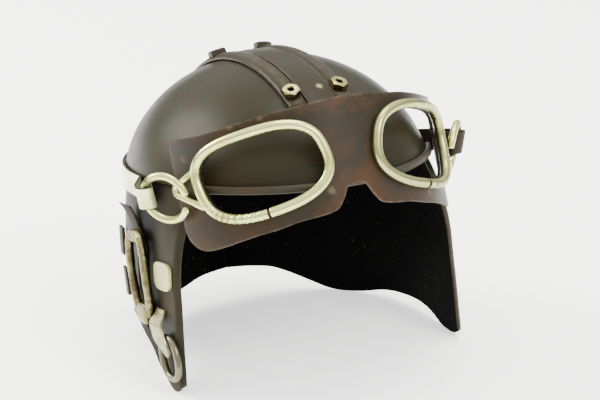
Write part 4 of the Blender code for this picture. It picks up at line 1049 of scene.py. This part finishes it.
def goggle_strap():
    """Band between its two edges: even steps along, rows down its height, half the wall each way."""
    turns = np.linspace(-STRAP_SEAT_TURN, STRAP_SEAT_TURN, 161)
    ends = [strap_fold(-1.0), strap_fold(1.0)]
    upper = np.concatenate([ends[0][0], strap_edges(turns)[0], ends[1][0][::-1]])
    lower = np.concatenate([ends[0][1], strap_edges(turns)[1], ends[1][1][::-1]])
    middle = (upper + lower) / 2.0
    lengths = np.concatenate([[0.0], np.cumsum(np.linalg.norm(np.diff(middle, axis=0), axis=-1))])
    at = np.linspace(0.0, lengths[-1], STRAP_STEPS)
    upper = np.stack([np.interp(at, lengths, upper[:, i]) for i in range(3)], axis=-1)
    lower = np.stack([np.interp(at, lengths, lower[:, i]) for i in range(3)], axis=-1)
    down = np.linspace(0.0, 1.0, STRAP_ROWS)[:, None, None]
    grid = upper[None] * (1.0 - down) + lower[None] * down
    normal = unit(np.cross(np.gradient(grid, axis=1), np.gradient(grid, axis=0)))
    outer, inner = grid + normal * STRAP_WALL / 2.0, grid - normal * STRAP_WALL / 2.0
    stain = np.zeros((STRAP_ROWS, STRAP_STEPS))
    stain[[0, -1]] = 1.0
    return outer, inner, np.maximum(stain, np.clip((outer[..., 0] - 0.02) / 0.03, 0.0, 1.0))


strap_brass = brass("strap_brass", (0.70, 0.73, 0.38), (0.56, 0.55, 0.22), (0.022, 0.014, 0.008), 0.6, 0.25)
outer, inner, stain = goggle_strap()
dress("strap_band", sheet_patches(outer, inner, tarnish=stain), [strap_brass], "goggle_strap", bevel=0.0002)


# Ear loops: a long brass loop on each flap with a cast block at its head and foot, standing over
# the dark ear strap.
EAR_LOOP_WIRE = 0.0026
EAR_LOOP_HALF_WIDTH = 0.0106
EAR_LOOP_HALF_HEIGHT = 0.0240
EAR_LOOP_TURN = 94.5
EAR_LOOP_HEIGHT = -0.0568
EAR_LOOP_SLANT = 5.0
EAR_LOOP_SQUARENESS = 3.2
OVAL_STEPS = 240


def oval_route(side, turn, height, half_width, half_height, lift, slant, squareness, tilt=0.0):
    """Squared oval over the guard: turn and height by a superellipse, leaning forward at its foot."""
    angle = np.linspace(0.0, 2.0 * math.pi, OVAL_STEPS, endpoint=False)
    c, s = np.cos(angle), np.sin(angle)
    u = np.sign(c) * np.abs(c) ** (2.0 / squareness)
    v = np.sign(s) * np.abs(s) ** (2.0 / squareness)
    here = turn + u * half_width / FORWARD_STEP - v * slant / 2.0
    level = height + v * half_height
    route = guard_point(here, level, lift + tilt * (1.0 - u) / 2.0, side)
    return route, guard_normal(here, level) * (side, 1.0, 1.0)


def block(middle, axes, half, power=4.0):
    """Rounded block: |x/a|^p + |y/b|^p + |z/c|^p = 1 by two angles, on three given axes."""
    rise = np.linspace(-math.pi / 2.0, math.pi / 2.0, 33)[:, None]
    turn = np.linspace(0.0, 2.0 * math.pi, 48, endpoint=False)[None, :]
    def bent(value):
        return np.sign(value) * np.abs(value) ** (2.0 / power)
    x = bent(np.cos(rise)) * bent(np.cos(turn)) * half[0]
    y = bent(np.cos(rise)) * bent(np.sin(turn)) * half[1]
    z = bent(np.sin(rise)) * half[2] + 0.0 * turn
    return middle + x[..., None] * axes[0] + y[..., None] * axes[1] + z[..., None] * axes[2]


def guard_axes(turn, height, side):
    """Axes on the guard's face: forward, up along the face, and outward."""
    out = guard_normal(np.array([turn]), np.array([height]))[0] * (side, 1.0, 1.0)
    ahead = (guard_plan(turn + 0.5, height) - guard_plan(turn - 0.5, height)) * (side, 1.0, 1.0)
    ahead = unit(ahead)
    return ahead, unit(np.cross(out, ahead)) * (1.0 if np.cross(out, ahead)[2] > 0 else -1.0), out


loop_brass = brass("loop_brass", (0.24, 0.22, 0.10), (0.13, 0.10, 0.042), (0.030, 0.019, 0.009), 1.0, 0.6)
for word, side in SIDES:
    lift = FIT_GAP + SHEET_WALL + FIT_GAP + EAR_LOOP_WIRE
    route, facing = oval_route(
        side, EAR_LOOP_TURN, EAR_LOOP_HEIGHT, EAR_LOOP_HALF_WIDTH, EAR_LOOP_HALF_HEIGHT, lift,
        EAR_LOOP_SLANT, EAR_LOOP_SQUARENESS,
    )
    wobble = 1.0 + 0.03 * np.sin(np.arange(OVAL_STEPS) * 0.35) + 0.02 * np.sin(np.arange(OVAL_STEPS) * 0.83)
    grid = tube(route, facing, EAR_LOOP_WIRE * wobble, WIRE_SIDES, closed=True)
    patches = [patch(grid, around=True, along=True, tarnish=0.42)]
    for ends, half, stain in ((1.0, (0.0062, 0.0036, 0.0028), 0.46), (-1.0, (0.0066, 0.0062, 0.0032), 0.14)):
        turn = EAR_LOOP_TURN - ends * EAR_LOOP_SLANT / 2.0
        height = EAR_LOOP_HEIGHT + ends * (EAR_LOOP_HALF_HEIGHT - 0.0012)
        middle = guard_point(np.array([turn]), np.array([height]), np.array([lift]), side)[0]
        cast = block(middle, guard_axes(turn, height, side), half)
        patches.append(patch(cast, around=True, tarnish=stain))
    dress("ear_wire_" + word, patches, [loop_brass], "ear_loop_" + word, sharp=WIRE_SHARP)


# Ear straps: a dark brown strip down each flap behind its loop, sprung back off the guard at the
# top, its cut edges rubbed.
EAR_STRAP_HALF_WIDTH = 0.0058
EAR_STRAP_TOP = -0.0185
EAR_STRAP_LENGTH = 0.0720
EAR_STRAP_TURN = 94.5
EAR_STRAP_SWING = 12.0
EAR_STRAP_DRIFT = 4.0
EAR_STRAP_SPRING = 0.0030
EAR_STRAP_TWIST = 0.0030
EAR_STRAP_EASE = 0.30


def laid_strip(side, height, turn, half_width, rear, front, wall, columns=25):
    """Strip on the guard: rows by height, columns across, its lift going from rear to front."""
    share = np.linspace(0.0, 1.0, columns)[None, :]
    height, turn, half_width, rear, front = (
        np.broadcast_to(np.asarray(value, float), np.shape(height))[:, None]
        for value in (height, turn, half_width, rear, front)
    )
    here = turn + (2.0 * share - 1.0) * half_width / FORWARD_STEP
    level = height + 0.0 * share
    lift = rear + (front - rear) * share
    outer = guard_point(here, level, lift + wall, side)
    return outer, guard_point(here, level, lift, side)


strip_paint = painted_sheet(
    "strip_paint", (0.010, 0.0065, 0.0035), (0.026, 0.012, 0.006), (0.013, 0.010, 0.007),
    (0.060, 0.036, 0.018), 0.03, 0.35,
)
for word, side in SIDES:
    share = np.linspace(0.0, 1.0, 90)
    spring = np.maximum(0.0, 1.0 - share / EAR_STRAP_EASE)
    turn = EAR_STRAP_TURN - EAR_STRAP_SWING * spring - EAR_STRAP_DRIFT * share ** 2
    lift = FIT_GAP + EAR_STRAP_SPRING * spring ** 5
    outer, inner = laid_strip(
        side, EAR_STRAP_TOP - EAR_STRAP_LENGTH * share, turn, EAR_STRAP_HALF_WIDTH,
        lift + EAR_STRAP_TWIST * spring ** 3, lift, SHEET_WALL, 19,
    )
    edge = 0.6 * border_mark(*outer.shape[:2], 0.0008, 0.00064, 0.0010)
    patches = sheet_patches(outer, inner, edge=edge)
    dress("ear_strip_" + word, patches, [strip_paint], "ear_strap_" + word, bevel=0.0003)


# Rear tabs: two small dark plates behind each loop, their rear edges bent away from the guard.
TAB_WALL = 0.0020
TAB_TURN = 66.8
TAB_HALF_WIDTH = 0.0052
TAB_HALF_HEIGHT = 0.0085
TAB_PROUD = 0.0018
tab_share = np.linspace(-1.0, 1.0, 41)
for word, side in SIDES:
    for place, height in (("upper", -0.0459), ("lower", -0.0709)):
        half = TAB_HALF_WIDTH * (1.0 - 0.12 * tab_share ** 4)
        outer, inner = laid_strip(
            side, height - TAB_HALF_HEIGHT * tab_share, TAB_TURN, half, FIT_GAP + TAB_PROUD, FIT_GAP, TAB_WALL
        )
        edge = 0.7 * border_mark(*outer.shape[:2], 0.0004, 0.0004, 0.0010)
        patches = sheet_patches(outer, inner, edge=edge)
        dress(place + "_plate_" + word, patches, [strip_paint], place + "_tab_" + word, bevel=0.0004)


# Front clip: a rounded pale brass plate on the right flap, in front of the loop.
CLIP_TURN = 109.9
CLIP_HEIGHT = -0.0535
CLIP_HALF_WIDTH = 0.0102
CLIP_HALF_HEIGHT = 0.0082
clip_brass = brass("clip_brass", (0.42, 0.40, 0.17), (0.33, 0.29, 0.11), (0.06, 0.04, 0.02), 0.6, 0.3)
clip_share = np.sin(np.linspace(-1.0, 1.0, 61) * math.pi / 2.0)
half = CLIP_HALF_WIDTH * (1.0 - np.abs(clip_share) ** 5) ** 0.35 * 0.86 + CLIP_HALF_WIDTH * 0.14
outer, inner = laid_strip(
    -1.0, CLIP_HEIGHT - CLIP_HALF_HEIGHT * clip_share, CLIP_TURN, half, FIT_GAP, FIT_GAP, TAB_WALL, 41
)
stain = 0.35 * border_mark(*outer.shape[:2], 0.0004, 0.0005, 0.0016)
clip_patches = sheet_patches(outer, inner, tarnish=stain)
dress("clip_plate_right", clip_patches, [clip_brass], "front_clip_right", bevel=0.0006)


# Buckle frame: a rounded loop low on the right flap, grey with age.
BUCKLE_WIRE = 0.0021
BUCKLE_HALF_WIDTH = 0.0100
BUCKLE_HALF_HEIGHT = 0.0120
BUCKLE_TURN = 113.4
BUCKLE_HEIGHT = -0.1018
BUCKLE_TILT = 0.0010
BUCKLE_SLANT = 3.0
BUCKLE_SQUARENESS = 2.4
buckle_metal = brass("buckle_metal", (0.15, 0.14, 0.085), (0.10, 0.085, 0.045), (0.030, 0.023, 0.014), 0.9, 0.35)
route, facing = oval_route(
    -1.0, BUCKLE_TURN, BUCKLE_HEIGHT, BUCKLE_HALF_WIDTH, BUCKLE_HALF_HEIGHT, FIT_GAP + BUCKLE_WIRE,
    BUCKLE_SLANT, BUCKLE_SQUARENESS, BUCKLE_TILT,
)
grid = tube(route, facing, BUCKLE_WIRE, WIRE_SIDES, closed=True)
buckle_patches = [patch(grid, around=True, along=True, tarnish=0.25)]
dress("buckle_wire_right", buckle_patches, [buckle_metal], "buckle_loop_right", sharp=WIRE_SHARP)


# Buckle strap: a short pale strip that leaves the guard under a rolled knob, crosses the frame's
# upper bar and ends in a point.
STRIP_ROWS = np.array((
    (-0.0745, 106.2, 0.0050, 0.00), (-0.0775, 106.0, 0.0058, 0.15), (-0.0805, 106.6, 0.0064, 0.65),
    (-0.0835, 107.9, 0.0066, 1.00), (-0.0870, 109.2, 0.0066, 1.00), (-0.0910, 110.6, 0.0066, 1.00),
    (-0.0950, 111.6, 0.0060, 0.80), (-0.0990, 112.4, 0.0036, 0.55), (-0.1015, 112.8, 0.0014, 0.45),
))
BUCKLE_STRAP_LIFT = 0.0052
strip_brass = brass("strip_brass", (0.31, 0.29, 0.15), (0.20, 0.165, 0.075), (0.055, 0.036, 0.02), 0.7, 0.35)
strip_share = np.linspace(0.0, 1.0, 80)
strip_keys = np.linspace(0.0, 1.0, len(STRIP_ROWS))
height, turn, half, climb = (eased(strip_keys, STRIP_ROWS[:, i], strip_share) for i in range(4))
climb = np.clip(climb, 0.0, 1.0)
outer, inner = laid_strip(
    -1.0, height, turn, half, FIT_GAP + (BUCKLE_STRAP_LIFT + BUCKLE_TILT) * climb,
    FIT_GAP + BUCKLE_STRAP_LIFT * climb, SHEET_WALL, 21,
)
strip_patches = sheet_patches(outer, inner, tarnish=np.full(outer.shape[:2], 0.15))
dress("buckle_strip_right", strip_patches, [strip_brass], "buckle_strap_right", bevel=0.0003)
